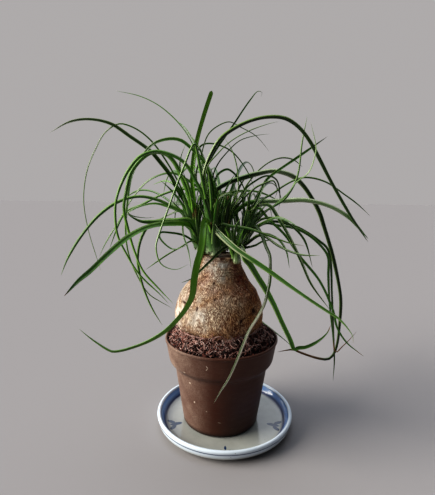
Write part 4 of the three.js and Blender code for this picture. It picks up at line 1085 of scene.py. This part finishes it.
class PONYTAIL_OT_pot(bpy.types.Operator):
    """Build the nursery pot"""
    bl_idname = "ponytail.pot"
    bl_label = "Pot"

    def execute(self, context):
        """The wall, collar and rim turned from their profile. The foot is lifted in arches: every point
        lower than an arch's crown rises to it, within half a width of the arch's line."""
        settings = context.scene.ponytail_pot
        foot = arc(POT_BASE - POT_CORNER, SAUCER_FLOOR + POT_CORNER, POT_CORNER, -90, -10, 10)
        inner = POT_BASE - POT_WALL
        upper = rounded([foot[-1], POT_STEP, POT_COLLAR, *POT_RIM, (POT_COLLAR[0] - POT_WALL, POT_COLLAR[1]),
                         (POT_STEP[0] - POT_WALL, POT_STEP[1] - POT_WALL), (inner, POT_FLOOR + POT_WALL),
                         (inner - POT_WALL, POT_FLOOR), (0, POT_FLOOR)], [3.2, 3.0] + [1.3] * 10)
        profile = np.vstack([(0, SAUCER_FLOOR), foot[:-1], upper])
        points, faces = turned(filled(profile, 1.5), settings.sides, POT_X)
        across, along, height = points[:, 0] - POT_X, points[:, 1], points[:, 2]
        low = height < SAUCER_FLOOR + ARCH_HEIGHT
        ways = circle(ARCHES) - np.pi / 2
        for way in ways:
            beside = np.abs(along * np.cos(way) - across * np.sin(way))
            before = across * np.cos(way) + along * np.sin(way)
            under = smoothstep(beside, ARCH_WIDTH / 2 + 0.4, ARCH_WIDTH / 2 - 0.4) * (before > ARCH_FROM)
            lifted = np.maximum(height, SAUCER_FLOOR + ARCH_HEIGHT * under)
            points[:, 2] = np.where(low, lifted, height)
        angle, out = np.arctan2(along, across), np.hypot(across, along)
        lean = (1 + np.sin(2 * angle + 1.0) * np.sin(height * 0.05)) * smoothstep(height, 12, 60)
        rings = 0.05 * np.sin(height * 0.9) * smoothstep(height, 66, 60) * smoothstep(out, 30, 38)
        waver = (1 - 0.0012 * lean) * (1 + rings / 45)
        points[:, 0] = POT_X + across * waver
        points[:, 1] = along * waver
        material = plastic_material(settings)
        pot = add_piece("pot_moulded", points, faces, material, "pot", "pot_plastic")

        drain = np.array([(0, 3.0), (DRAIN_RADIUS, 3.0), (DRAIN_RADIUS, 10.0), (0, 10.0)])
        hole, hole_faces = turned(drain, DRAIN_SIDES)
        holes = joined([(hole + around(POT_X, DRAIN_REACH, way, 0), hole_faces, {}) for way in ways])
        cutter = add_piece("drain_cutter", *holes[:2], material)
        cut = pot.modifiers.new("Drain holes", "BOOLEAN")
        cut.operation, cut.solver, cut.object = "DIFFERENCE", "EXACT", cutter
        shown = bpy.data.meshes.new_from_object(pot.evaluated_get(context.evaluated_depsgraph_get()))
        pot.modifiers.clear()
        pot.data = shown
        bpy.data.objects.remove(cutter)
        return {"FINISHED"}


# Soil

def soil_bed():
    """The bed: rings up the inside of the pot, in over the heap and down the trunk's hole. Its top
    follows the soil's height with a rough of crumbs 3 mm and 1.2 mm across."""
    angle = circle(SOIL_SIDES)
    wall = POT_WALL + SOIL_GAP
    rim = POT_COLLAR[0] - wall
    edge = rim + ((SOIL_EDGE - POT_COLLAR[1]) / (POT_RIM[0][1] - POT_COLLAR[1])
                  * (POT_RIM[0][0] - POT_COLLAR[0]))
    foot = POT_BASE - wall - 0.1
    sides = np.array([(foot - POT_WALL, POT_FLOOR + 0.3), (foot, POT_FLOOR + 1.9),
                      (POT_STEP[0] - wall - 0.2, POT_STEP[1] - POT_WALL - 0.4), (rim, POT_COLLAR[1] + 0.2)])
    low = around(POT_X, sides[:, :1], angle, sides[:, 1:])
    hole_height = np.linspace(*HOLE_RINGS)[:, None]
    hole = trunk_surface(hole_height, angle[None], SOIL_GAP)
    share = np.linspace(1, 0, SOIL_RINGS)[:, None, None]
    top = around(POT_X, edge, angle, 0.0) * share + hole[0] * (1 - share)
    top[..., 2] = 0
    rough = 0.7 * noise(top, 3.0, 3) + 0.35 * noise(top, 1.3, 4)
    top[..., 2] = np.minimum(soil_height(top[..., 0], top[..., 1]) + rough, POT_RIM_HEIGHT + 7.5)
    keep = hole_height[:, 0] < top[-1, :, 2].min() - 2
    points, faces = closed(np.vstack([low, top, hole[keep]]), (POT_X, 0, POT_FLOOR + 0.3),
                           (TRUNK[0, 2], 0, TRUNK[0, 0] - 0.5))
    # The bed is near black: dark soil, and painted shade for the gaps between the crumbs.
    material = soil_material("composted_bark_bed", [(0.0, "#070303"), (1.0, "#45201a")], 0.95)
    add_piece("soil_bed", points, faces, material, "soil", "potting_soil",
              {"tone": 0.12 + 0.1 * noise(points, 2.0, 5)})


def scattered(draw, count, margin_and_sheen):
    """Places spread evenly over the open soil, between the trunk and the wall."""
    angle = draw.uniform(0, 2 * np.pi, count)
    inner = trunk_surface(np.full(count, SOIL_LINE), angle, 0.6)[:, :2]
    outer = around(POT_X, SOIL_RADIUS - margin_and_sheen, angle, 0)[:, :2]
    share = np.sqrt(draw.uniform(0.0, 1.0, count))[:, None]
    place = inner + (outer - inner) * (share * 0.62 + share ** 2 * 0.38)
    return np.concatenate([place, soil_height(*place.T)[:, None]], axis=1)


def pulled_in(x, y, radius):
    """Points moved in to a radius about the pot's axis where they lie outside it."""
    share = np.minimum(1, radius / np.maximum(np.hypot(x - POT_X, y), 1e-6))
    return POT_X + (x - POT_X) * share, y * share


def turn_points(points, angles, axis):
    """Shapes turned by their own angles about an axis."""
    cos, sin = np.cos(angles)[:, None], np.sin(angles)[:, None]
    one, two = [k for k in range(3) if k != axis]
    made = points.copy()
    made[..., one] = points[..., one] * cos - points[..., two] * sin
    made[..., two] = points[..., one] * sin + points[..., two] * cos
    return made


def soil_crumbs(draw, count, size):
    """Crumbs: boxes with each corner moved at random, flat ones lying and a few standing on edge."""
    place = scattered(draw, count, 1.5)
    scale = size * draw.lognormal(0, 0.38, (count, 1)) * np.stack(
        [draw.uniform(low, high, count) for low, high in ((0.7, 1.6), (0.4, 0.9), (0.22, 0.5))], -1)
    corner = np.array(list(product((-1, 1), repeat=3)), float)
    shape = corner * (1 + draw.uniform(-0.45, 0.25, (count, 8, 3))) * np.minimum(scale, 5.0)[:, None] / 2
    spin, tilt, roll = draw.uniform(0, 2 * np.pi, count), *draw.normal(0, 0.45, (2, count))
    for angles, axis in ((roll, 0), (tilt, 1), (spin, 2)):
        shape = turn_points(shape, angles, axis)
    points = shape + place[:, None] + np.array([0, 0, 1.0]) * draw.uniform(-0.3, 1.0, (count, 1, 1))
    points[..., 0], points[..., 1] = pulled_in(points[..., 0], points[..., 1], SOIL_RADIUS)
    box = np.array([(0, 1, 3, 2), (4, 6, 7, 5), (0, 4, 5, 1), (2, 3, 7, 6), (0, 2, 6, 4), (1, 5, 7, 3)])
    tones = [(0.0, "#060202"), (0.45, "#35130d"), (0.75, "#7c4539"), (1.0, "#d4a596")]
    add_piece("soil_crumbs", points, [copies(box, count, 8)], soil_material("bark_crumbs", tones, 0.9),
              None, "potting_soil", {"tone": np.repeat(draw.beta(1.2, 2.3, count), 8)})


def soil_fibres(draw, count):
    """Fibres: an arc along the ground with a hump, carried as a five-sided tube that tapers. One in eight
    clings to the foot of the trunk."""
    steps, sides = FIBRE_RINGS, FIBRE_SIDES
    place = scattered(draw, count, 4.0)
    clinging = np.arange(count) % 8 == 0
    foot = trunk_surface(np.full(count, SOIL_LINE), np.arctan2(place[:, 1], place[:, 0] - POT_X), 1.0)
    place[clinging, :2] = foot[clinging, :2]
    round_pot = np.arctan2(place[:, 1], place[:, 0] - POT_X) + np.pi / 2
    way = (round_pot + draw.normal(0, 0.8, count))[:, None]
    length = draw.uniform(4, 15, count)[:, None]
    bend = draw.normal(0, 0.22, count)[:, None]
    hump = draw.uniform(0.3, 2.6, count)[:, None]
    t = np.linspace(-0.5, 0.5, steps)[None]
    bow = 1 - 4 * t * t
    ahead, beside = length * t, bend * length * bow
    x = place[:, 0, None] + ahead * np.cos(way) - beside * np.sin(way)
    y = place[:, 1, None] + ahead * np.sin(way) + beside * np.cos(way)
    x, y = pulled_in(x, y, SOIL_RADIUS - 0.4)
    lean = np.abs(draw.normal(0, 2.0, count)[:, None] * t)
    z = soil_height(x, y) + 0.5 + hump * bow + lean * np.where(clinging, 3, 1)[:, None]
    radius, shift = trunk_outline(z)
    need = radius * (1 - TRUNK_FLAT * np.sin(np.arctan2(y, x - shift)) ** 2) + 0.9
    away = np.maximum(1, need / np.maximum(np.hypot(x - shift, y), 1e-6))
    paths = np.stack([shift + (x - shift) * away, y * away, z], -1)
    along = unit(np.gradient(paths, axis=1))
    side = unit(np.cross(along, (0, 0, 1.0)))
    rise = np.cross(side, along)
    turn = circle(sides)[:, None]
    thick = draw.uniform(0.13, 0.4, count)[:, None] * (1 - 0.75 * (2 * np.abs(t)) ** 3)
    points = paths[:, :, None] + thick[..., None, None] * (
        side[:, :, None] * np.cos(turn) + rise[:, :, None] * np.sin(turn))
    material = soil_material("coir_fibres", [(0.0, "#3c1812"), (0.4, "#ae776a"), (1.0, "#f7dfd6")], 0.8)
    add_piece("soil_fibres", points, tube_faces(count, steps, sides), material, None, "potting_soil",
              {"tone": np.repeat(draw.beta(1.8, 1.8, count), steps * sides)})


class PONYTAIL_OT_soil(bpy.types.Operator):
    """Build the potting soil with its crumbs and fibres"""
    bl_idname = "ponytail.soil"
    bl_label = "Soil"

    def execute(self, context):
        """A bed of rings, crumbs that are skewed boxes strewn evenly over it, and thin arched fibres."""
        settings = context.scene.ponytail_soil
        draw = np.random.default_rng(SEED)
        soil_bed()
        soil_crumbs(draw, settings.crumbs, settings.crumb / MM)
        soil_fibres(draw, settings.fibres)
        return {"FINISHED"}


# Caudex

def patch(angle, height, middle, level, wide, tall):
    """A soft patch on the trunk: a bell over the angle and the height from its middle."""
    return np.exp(-(degrees_from(angle, middle) / wide) ** 2 - ((height - level) / tall) ** 2)


def bark_values(rings, angle, top_rows):
    """What the bark reads at each point: its patches, its scars with painted shade round the neck under the
    heads, and how deeply it is cracked.
    """
    height = rings[..., 2]
    ragged = 0.75 + 0.5 * noise(rings, 4.0, 21) + 0.25 * noise(rings, 1.6, 22)
    values = {name: np.zeros(height.shape) for name in BARK_COLOURS}
    for name, *place, strength in BARK_PATCHES:
        layer = strength * ragged * patch(angle, height, *place)
        values[name] = np.clip(np.maximum(values[name], layer), 0, 1)
    scar = sum(1.7 * patch(angle, height, *place) for *place, _ in BARK_MARKS)
    base = smoothstep(height, 117, 110) * (0.15 + 1.1 * noise(rings, 4.0, 23) + 0.6 * noise(rings, 1.5, 27))
    # Darker round the neck under the heads: painted shade.
    crown = smoothstep(height, 181.5, 186) * (0.4 + 0.9 * noise(rings, 3.0, 26))
    scar = np.clip(scar + np.clip(base, 0, 1) + np.clip(crown, 0, 1), 0, 1)
    scar[-top_rows:] = np.clip(0.75 + 0.3 * noise(rings[-top_rows:], 2.0, 24), 0, 1)
    cracked = 0.9 - 0.75 * values["cream"] - 0.35 * values["silver_and_highlight"] + 0.25 * noise(rings, 9.0, 25)
    cracked = np.clip(cracked, 0.12, 1)
    cracked[-top_rows:] = 0.2
    values.update(scar=scar, cracked=cracked)
    return {name: np.append(value.ravel(), [0, value[-1].mean()]) for name, value in values.items()}


class PONYTAIL_OT_caudex(bpy.types.Operator):
    """Build the swollen trunk"""
    bl_idname = "ponytail.caudex"
    bl_label = "Caudex"

    def execute(self, context):
        """The trunk's skin on a grid of height by angle, moved out and in by lumps of three sizes, by dents
        at its healed marks and by faint rings on the neck, and closed by the rough flat cut."""
        settings = context.scene.ponytail_caudex
        angle = (circle(TRUNK_SIDES) - np.pi)[None]
        skin = np.concatenate([np.linspace(*rings) for rings in TRUNK_RINGS])[:, None]
        points = trunk_surface(skin, angle)
        bare = smoothstep(skin, 99, 106) * smoothstep(skin, 187, 184)
        lumps = (noise(points, 15, 11) + 0.55 * noise(points, 6, 12)
                 + 0.35 * noise(points * (1, 1, 0.5), 2.6, 13))
        wrinkle = 0.22 * smoothstep(skin, 162, 172) * np.sin(skin * 2.3 + 1.2 * noise(points, 12, 14))
        dents = sum(depth * patch(angle, skin, *place) for *place, depth in BARK_MARKS)
        root = smoothstep(skin, 118, 107) * smoothstep(skin, 100, 104)
        roots = root * 1.1 * np.maximum(0, np.sin(angle * 9 + 1.5 * noise(points, 20, 15))) ** 3
        out = bare * (settings.relief / MM * (lumps - 0.5) + wrinkle - dents) + roots
        normal = unit(np.cross(np.gradient(points, axis=1), np.gradient(points, axis=0)))
        points = points + normal * out[..., None]
        inward, sink = np.array(TRUNK_CUT).T[..., None]
        middle = np.array([TRUNK[-1, 2], 0.0, TRUNK_TOP])
        cut = middle + (trunk_surface(np.full((1, 1), TRUNK_TOP - 0.1), angle) - middle) * inward[..., None]
        cut[..., 2] = TRUNK_TOP - sink * (0.55 + 0.45 * noise(cut, 3.0, 16))
        rings = np.vstack([points, cut])
        made, faces = closed(rings, (TRUNK[0, 2], 0, TRUNK[0, 0]), middle - (0, 0, 0.6))
        add_piece("caudex_bark", made, faces, bark_material(settings), "caudex", "bark",
                  bark_values(rings, angle, len(cut)))
        return {"FINISHED"}


# Leaves

def blades(leaves, paths, settings, draw):
    """The leaves: half widths as in the solids, wider where they clasp the head and drawn to a point;
    the channel is deepest at the foot, and a slow random turn and ripple make no two alike."""
    count, rings = paths.shape[:2]
    keys = [leaf["key"] for leaf in leaves]
    share = np.linspace(0, 1, rings)[None]
    length, width, tip, twist = (np.array([[leaf[name]] for leaf in leaves])
                                 for name in ("length", "width", "tip", "twist"))
    looks = np.array([LEAF_LOOKS[head].get(place, (0, 1, 0)) for head, place in keys])
    lighter, broader, tipward = looks.T[..., None]
    run = share * length
    half = LEAF_SHOWN * broader * half_width(width, tip, share)
    blunt = np.array([[key == BLUNT_TIP] for key in keys])
    left = np.maximum(length - run, 0) / np.where(blunt, 2.0, np.minimum(26.0, 0.25 * length))
    half = half * (0.04 + 0.96 * np.minimum(1, left) ** 0.7) * (1 + 0.3 * np.exp(-run / 7.0))
    half = half * (1 + 0.05 * np.sin(run * 0.11 + draw.uniform(0, ANY_PHASE, (count, 1))))
    # Its foot, behind the rest, is narrowed and darkened: painted shade.
    behind = np.array([[key == NARROW_FOOT] for key in keys]) * np.exp(-(run / 24.0) ** 2)
    half = half * (1 - 0.45 * behind)
    sideways = np.abs(unit(furthest(paths))[:, :1])
    twist = np.sign(twist) * (0.5 * np.abs(twist) + 0.12 + 0.55 * sideways)
    twist = twist + np.array([[LEAF_TURNS.get(key, 0)] for key in keys])
    sway = np.sin(share * 4 + draw.uniform(0, ANY_PHASE, (count, 1)))
    twist = twist + 0.3 * sway * smoothstep(run, 15, 60)
    fold = CHANNEL + 0.3 * np.exp(-run / 22.0)
    # Leaves on the window side are lighter near their roots: painted light shining through them.
    lit = smoothstep(paths[:, :1, 0], 0, -30) * 0.35 * np.exp(-run / 40.0)
    tone = np.clip(draw.normal(0.28, 0.16, (count, 1)) + 0.06 * np.exp(-run / 30.0) + lit, 0.02, 1)
    tone = tone + lighter + tipward * (share - 0.5) - 0.6 * behind
    dry_from = np.array([[DRY_TIPS.get(key, 2.0)] for key in keys])
    short = draw.uniform(0, 1, (count, 1)) < 0.3
    dry_from = np.where((dry_from > 1) & short, 0.985, dry_from)
    # A painted sheen along these stretches: paler green in the middle and white at the margins.
    start, end, green, white = np.array([PAINTED_SHEEN_LEAVES.get(key, (0, 1, 0, 0)) for key in keys]).T[..., None]
    pale = smoothstep(share, start, start + 0.12) * smoothstep(share, end, end - 0.12)
    thickness = settings.thickness / MM * np.minimum(1, half / THINNED)
    return straps(paths, half, twist, fold, thickness, {
        "tone": tone,
        # The pale foot, with the painted sheen's green and white on top.
        "root": 0.4 * np.exp(-(run / 8.0) ** 2) * (1 - behind) + green * pale,
        "blush": 0.2 * np.exp(-(run / 3.0) ** 2) + white * pale,
        "dry": smoothstep(share, dry_from - 0.015, dry_from + 0.02),
    })


def column_radius(head, up):
    """Radius of a head's column at a share of its height: it tapers, and is drawn in at its foot."""
    low, high = head[2]
    return (low + (high - low) * np.minimum(up, 1)) * (0.7 + 0.3 * smoothstep(up * column_length(head), 0, 7))


def column_length(head):
    """Length of a head's column."""
    return np.linalg.norm(np.subtract(head[1], head[0]))


def foot_values(head, up, least):
    """What the leaf reads near the foot of a column: a pale ring above a brown one."""
    tall = up * column_length(head)
    pale = np.exp(-((tall - 3) / 5.0) ** 2)
    return {"root": np.clip(least + 0.6 * pale, 0, 0.9), "blush": 0.35 * pale,
            "dry": 0.7 * np.exp(-(tall / 2.2) ** 2)}


def sheaths(head, draw):
    """Clasping bases of older leaves: short straps whose hollow side lies against the column, in a spiral
    up it, each leaning out a little at its tip."""
    count = SHEATHS if head[2][0] > 5 else FEW_SHEATHS
    place = np.arange(count)
    odd = place % 2 == 1
    angle = place * GOLDEN_ANGLE + draw.uniform(0, ANY_PHASE)
    start = 0.02 + 0.62 * place / count
    tall = (0.42 + 0.25 * draw.uniform(0, 1, count)) * np.where(odd, 1.9, 1.0)
    s = np.linspace(0, 1, SHEATH_RINGS)[None]
    up = np.minimum(start[:, None] + s * tall[:, None], 1.45)
    radius = column_radius(head, up)
    flare = (draw.uniform(1.5, 6.0, count) * np.where(odd, 3.2, 1.0))[:, None] * s ** 2.2
    paths = on_axis(head, up) + around(0, radius + 0.25 + flare, angle[:, None], 0.05)
    half = radius[:, :1] * 0.78 * (1 - s ** 1.5) ** 0.8 * (0.85 + 0.15 * s) + 0.12
    dry = (draw.uniform(0, 1, (count, 1)) < 0.2) * smoothstep(s, 0.7, 0.95)
    tone = np.clip(draw.normal(0.3, 0.14, (count, 1)) - np.where(odd, 0.12, 0)[:, None], 0, 1)
    values = {"tone": tone, **foot_values(head, up, 0.06)}
    values["dry"] = np.maximum(dry, values["dry"])
    thickness = 0.35 * np.minimum(1, half / THINNED)
    return straps(paths, half, np.zeros((count, 1)), -CHANNEL * (1 - 0.6 * s), thickness, values,
                  around(0, 1, angle + np.pi / 2, 0))


def column(head):
    """The column of sheaths: its radius tapers and is scalloped by seven clasping edges."""
    rise = np.append(np.linspace(0, 1, COLUMN_RINGS), [1.02, 1.04, 1.05])[:, None]
    angle = circle(COLUMN_SIDES)[None]
    radius = column_radius(head, rise) * np.minimum(1, (1.06 - rise) / 0.06) ** 0.5
    radius = radius * (0.93 + 0.07 * np.abs(np.sin(3.5 * angle + 3.0 * rise)))
    points, faces = closed(on_axis(head, rise) + around(0, radius, angle, 0), head[0], on_axis(head, 1.055))
    up = np.append(np.broadcast_to(rise, radius.shape), [0, 1])
    across = np.append(np.broadcast_to(np.sin(3.5 * angle) * 0.7, radius.shape), [0, 0])
    return points, faces, {"across": across, "tone": 0.05 + 0.3 * (1 - up), **foot_values(head, up, 0.05)}


class PONYTAIL_OT_heads(bpy.types.Operator):
    """Build the heads of leaves"""
    bl_idname = "ponytail.heads"
    bl_label = "Leaves"

    def execute(self, context):
        """Each head is a column of clasping sheaths with its leaves, which follow the solids' routes."""
        settings = context.scene.ponytail_leaves
        material = leaf_material(settings)
        leaves = all_leaves()
        bend_clear(leaves)
        paths = fine_paths(leaves, settings.rings)
        draw = np.random.default_rng(SEED + 1)
        for name, head in HEADS.items():
            own = [i for i, leaf in enumerate(leaves) if leaf["head"] == name]
            points, faces, values = joined([blades([leaves[i] for i in own], paths[own], settings, draw),
                                            sheaths(head, draw), column(head)])
            add_piece(name + "_leaves", points, faces, material, name, "leaf", values)
        return {"FINISHED"}


# Stage

def placed(right, back, place):
    """The matrix of an object whose X and Z axes point right and back, at a place."""
    matrix = np.eye(4)
    matrix[:3] = np.stack([right, np.cross(back, right), back, place], -1)
    return Matrix(matrix.tolist())


class PONYTAIL_OT_stage(bpy.types.Operator):
    """Build the floor, the lights and the camera"""
    bl_idname = "ponytail.stage"
    bl_label = "Stage"

    def execute(self, context):
        """A pale floor, a bright and a dim sun with wide discs for soft shadows, a sky that is brightest
        on the left behind the plant, and a camera at the eye that the leaf routes are drawn from."""
        settings, scene = context.scene.ponytail_stage, context.scene
        mesh = bpy.data.meshes.new("floor")
        corners = np.array([(-1, -1, 0), (1, -1, 0), (1, 1, 0), (-1, 1, 0)]) * FLOOR_REACH
        mesh.from_pydata(corners.tolist(), [], [(0, 1, 2, 3)])
        # Painted board: even and matt, so that nothing on it draws the eye.
        mesh.materials.append(finished(new_material("painted_board")[0], settings.floor, 0.75, 0.0))
        add_object("floor", mesh)

        # The camera sees an even grey wall in place of the sky.
        world = bpy.data.worlds.new("studio")
        world.use_nodes = True
        world.node_tree.nodes.clear()
        add = partial(add_node, world)
        way = add("VectorMath DOT_PRODUCT", add("TexCoord", out="Generated"), (-0.55, 0.75, 0.35))
        sky = add("ValToRGB", add("MapRange", way, -1.0, 1.0), stops=[(0.25, "#5c5f66"), (0.75, "#f4f6fa")])
        add("OutputWorld", add("MixShader", add("LightPath", out="Is Camera Ray"),
                               add("Background", sky, settings.fill), add("Background", "#a6a3a3", 1.0)))
        scene.world = world

        for name, towards_light, width, strength, tint in (
                ("window", (-0.90, -0.14, 0.44), 44, settings.key, "#fff8ee"),
                ("sky", (-0.10, 0.45, 0.90), 70, settings.key * 0.2, "#eaf1ff")):
            lamp = bpy.data.lights.new(name, "SUN")
            lamp.angle, lamp.energy, lamp.color = math.radians(width), strength, linear(tint)[:3]
            back = unit(np.array(towards_light))
            add_object(name, lamp).matrix_world = placed(unit(np.cross((0, 0, 1.0), back)), back, back)

        lens = bpy.data.cameras.new("camera")
        lens.lens, lens.sensor_width, lens.sensor_fit = EYE_LENS, 36.0, "AUTO"
        lens.clip_start = 0.01
        pitch, roll = math.radians(EYE_PITCH), math.radians(EYE_ROLL)
        look = np.array([0, math.cos(pitch), -math.sin(pitch)])
        level = np.array([1.0, 0, 0])
        tilted = math.cos(roll) * level + math.sin(roll) * np.cross(level, look)
        scene.camera = add_object("camera", lens)
        scene.camera.matrix_world = placed(tilted, -look, EYE * MM)
        scene.view_settings.view_transform = "Standard"
        scene.view_settings.look = "Medium High Contrast"
        return {"FINISHED"}


# Add-on

STEPS = [
    (PONYTAIL_OT_stage, "ponytail_stage", StageSettings),
    (PONYTAIL_OT_saucer, "ponytail_saucer", SaucerSettings),
    (PONYTAIL_OT_pot, "ponytail_pot", PotSettings),
    (PONYTAIL_OT_soil, "ponytail_soil", SoilSettings),
    (PONYTAIL_OT_caudex, "ponytail_caudex", CaudexSettings),
    (PONYTAIL_OT_heads, "ponytail_leaves", LeafSettings),
]


class PONYTAIL_PT_panel(bpy.types.Panel):
    """Lists the pieces and their settings"""
    bl_idname = "PONYTAIL_PT_panel"
    bl_label = "Ponytail Palm"
    bl_space_type = "VIEW_3D"
    bl_region_type = "UI"
    bl_category = "Ponytail Palm"

    def draw(self, context):
        """A box for each step, with its button and its settings."""
        for operator, name, kind in STEPS:
            box = self.layout.box()
            box.operator(operator.bl_idname)
            for prop in kind.__annotations__:
                box.prop(getattr(context.scene, name), prop)


def register():
    """Adds the settings, the operators and the panel."""
    for operator, name, kind in STEPS:
        bpy.utils.register_class(kind)
        bpy.utils.register_class(operator)
        setattr(bpy.types.Scene, name, bpy.props.PointerProperty(type=kind))
    bpy.utils.register_class(PONYTAIL_PT_panel)


def unregister():
    """Takes them away again."""
    bpy.utils.unregister_class(PONYTAIL_PT_panel)
    for operator, name, kind in reversed(STEPS):
        delattr(bpy.types.Scene, name)
        bpy.utils.unregister_class(operator)
        bpy.utils.unregister_class(kind)


def main():
    """Registers the add-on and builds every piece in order."""
    register()
    for operator, _, _ in STEPS:
        group, name = operator.bl_idname.split(".")
        getattr(getattr(bpy.ops, group), name)()


if __name__ == "__main__":
    main()
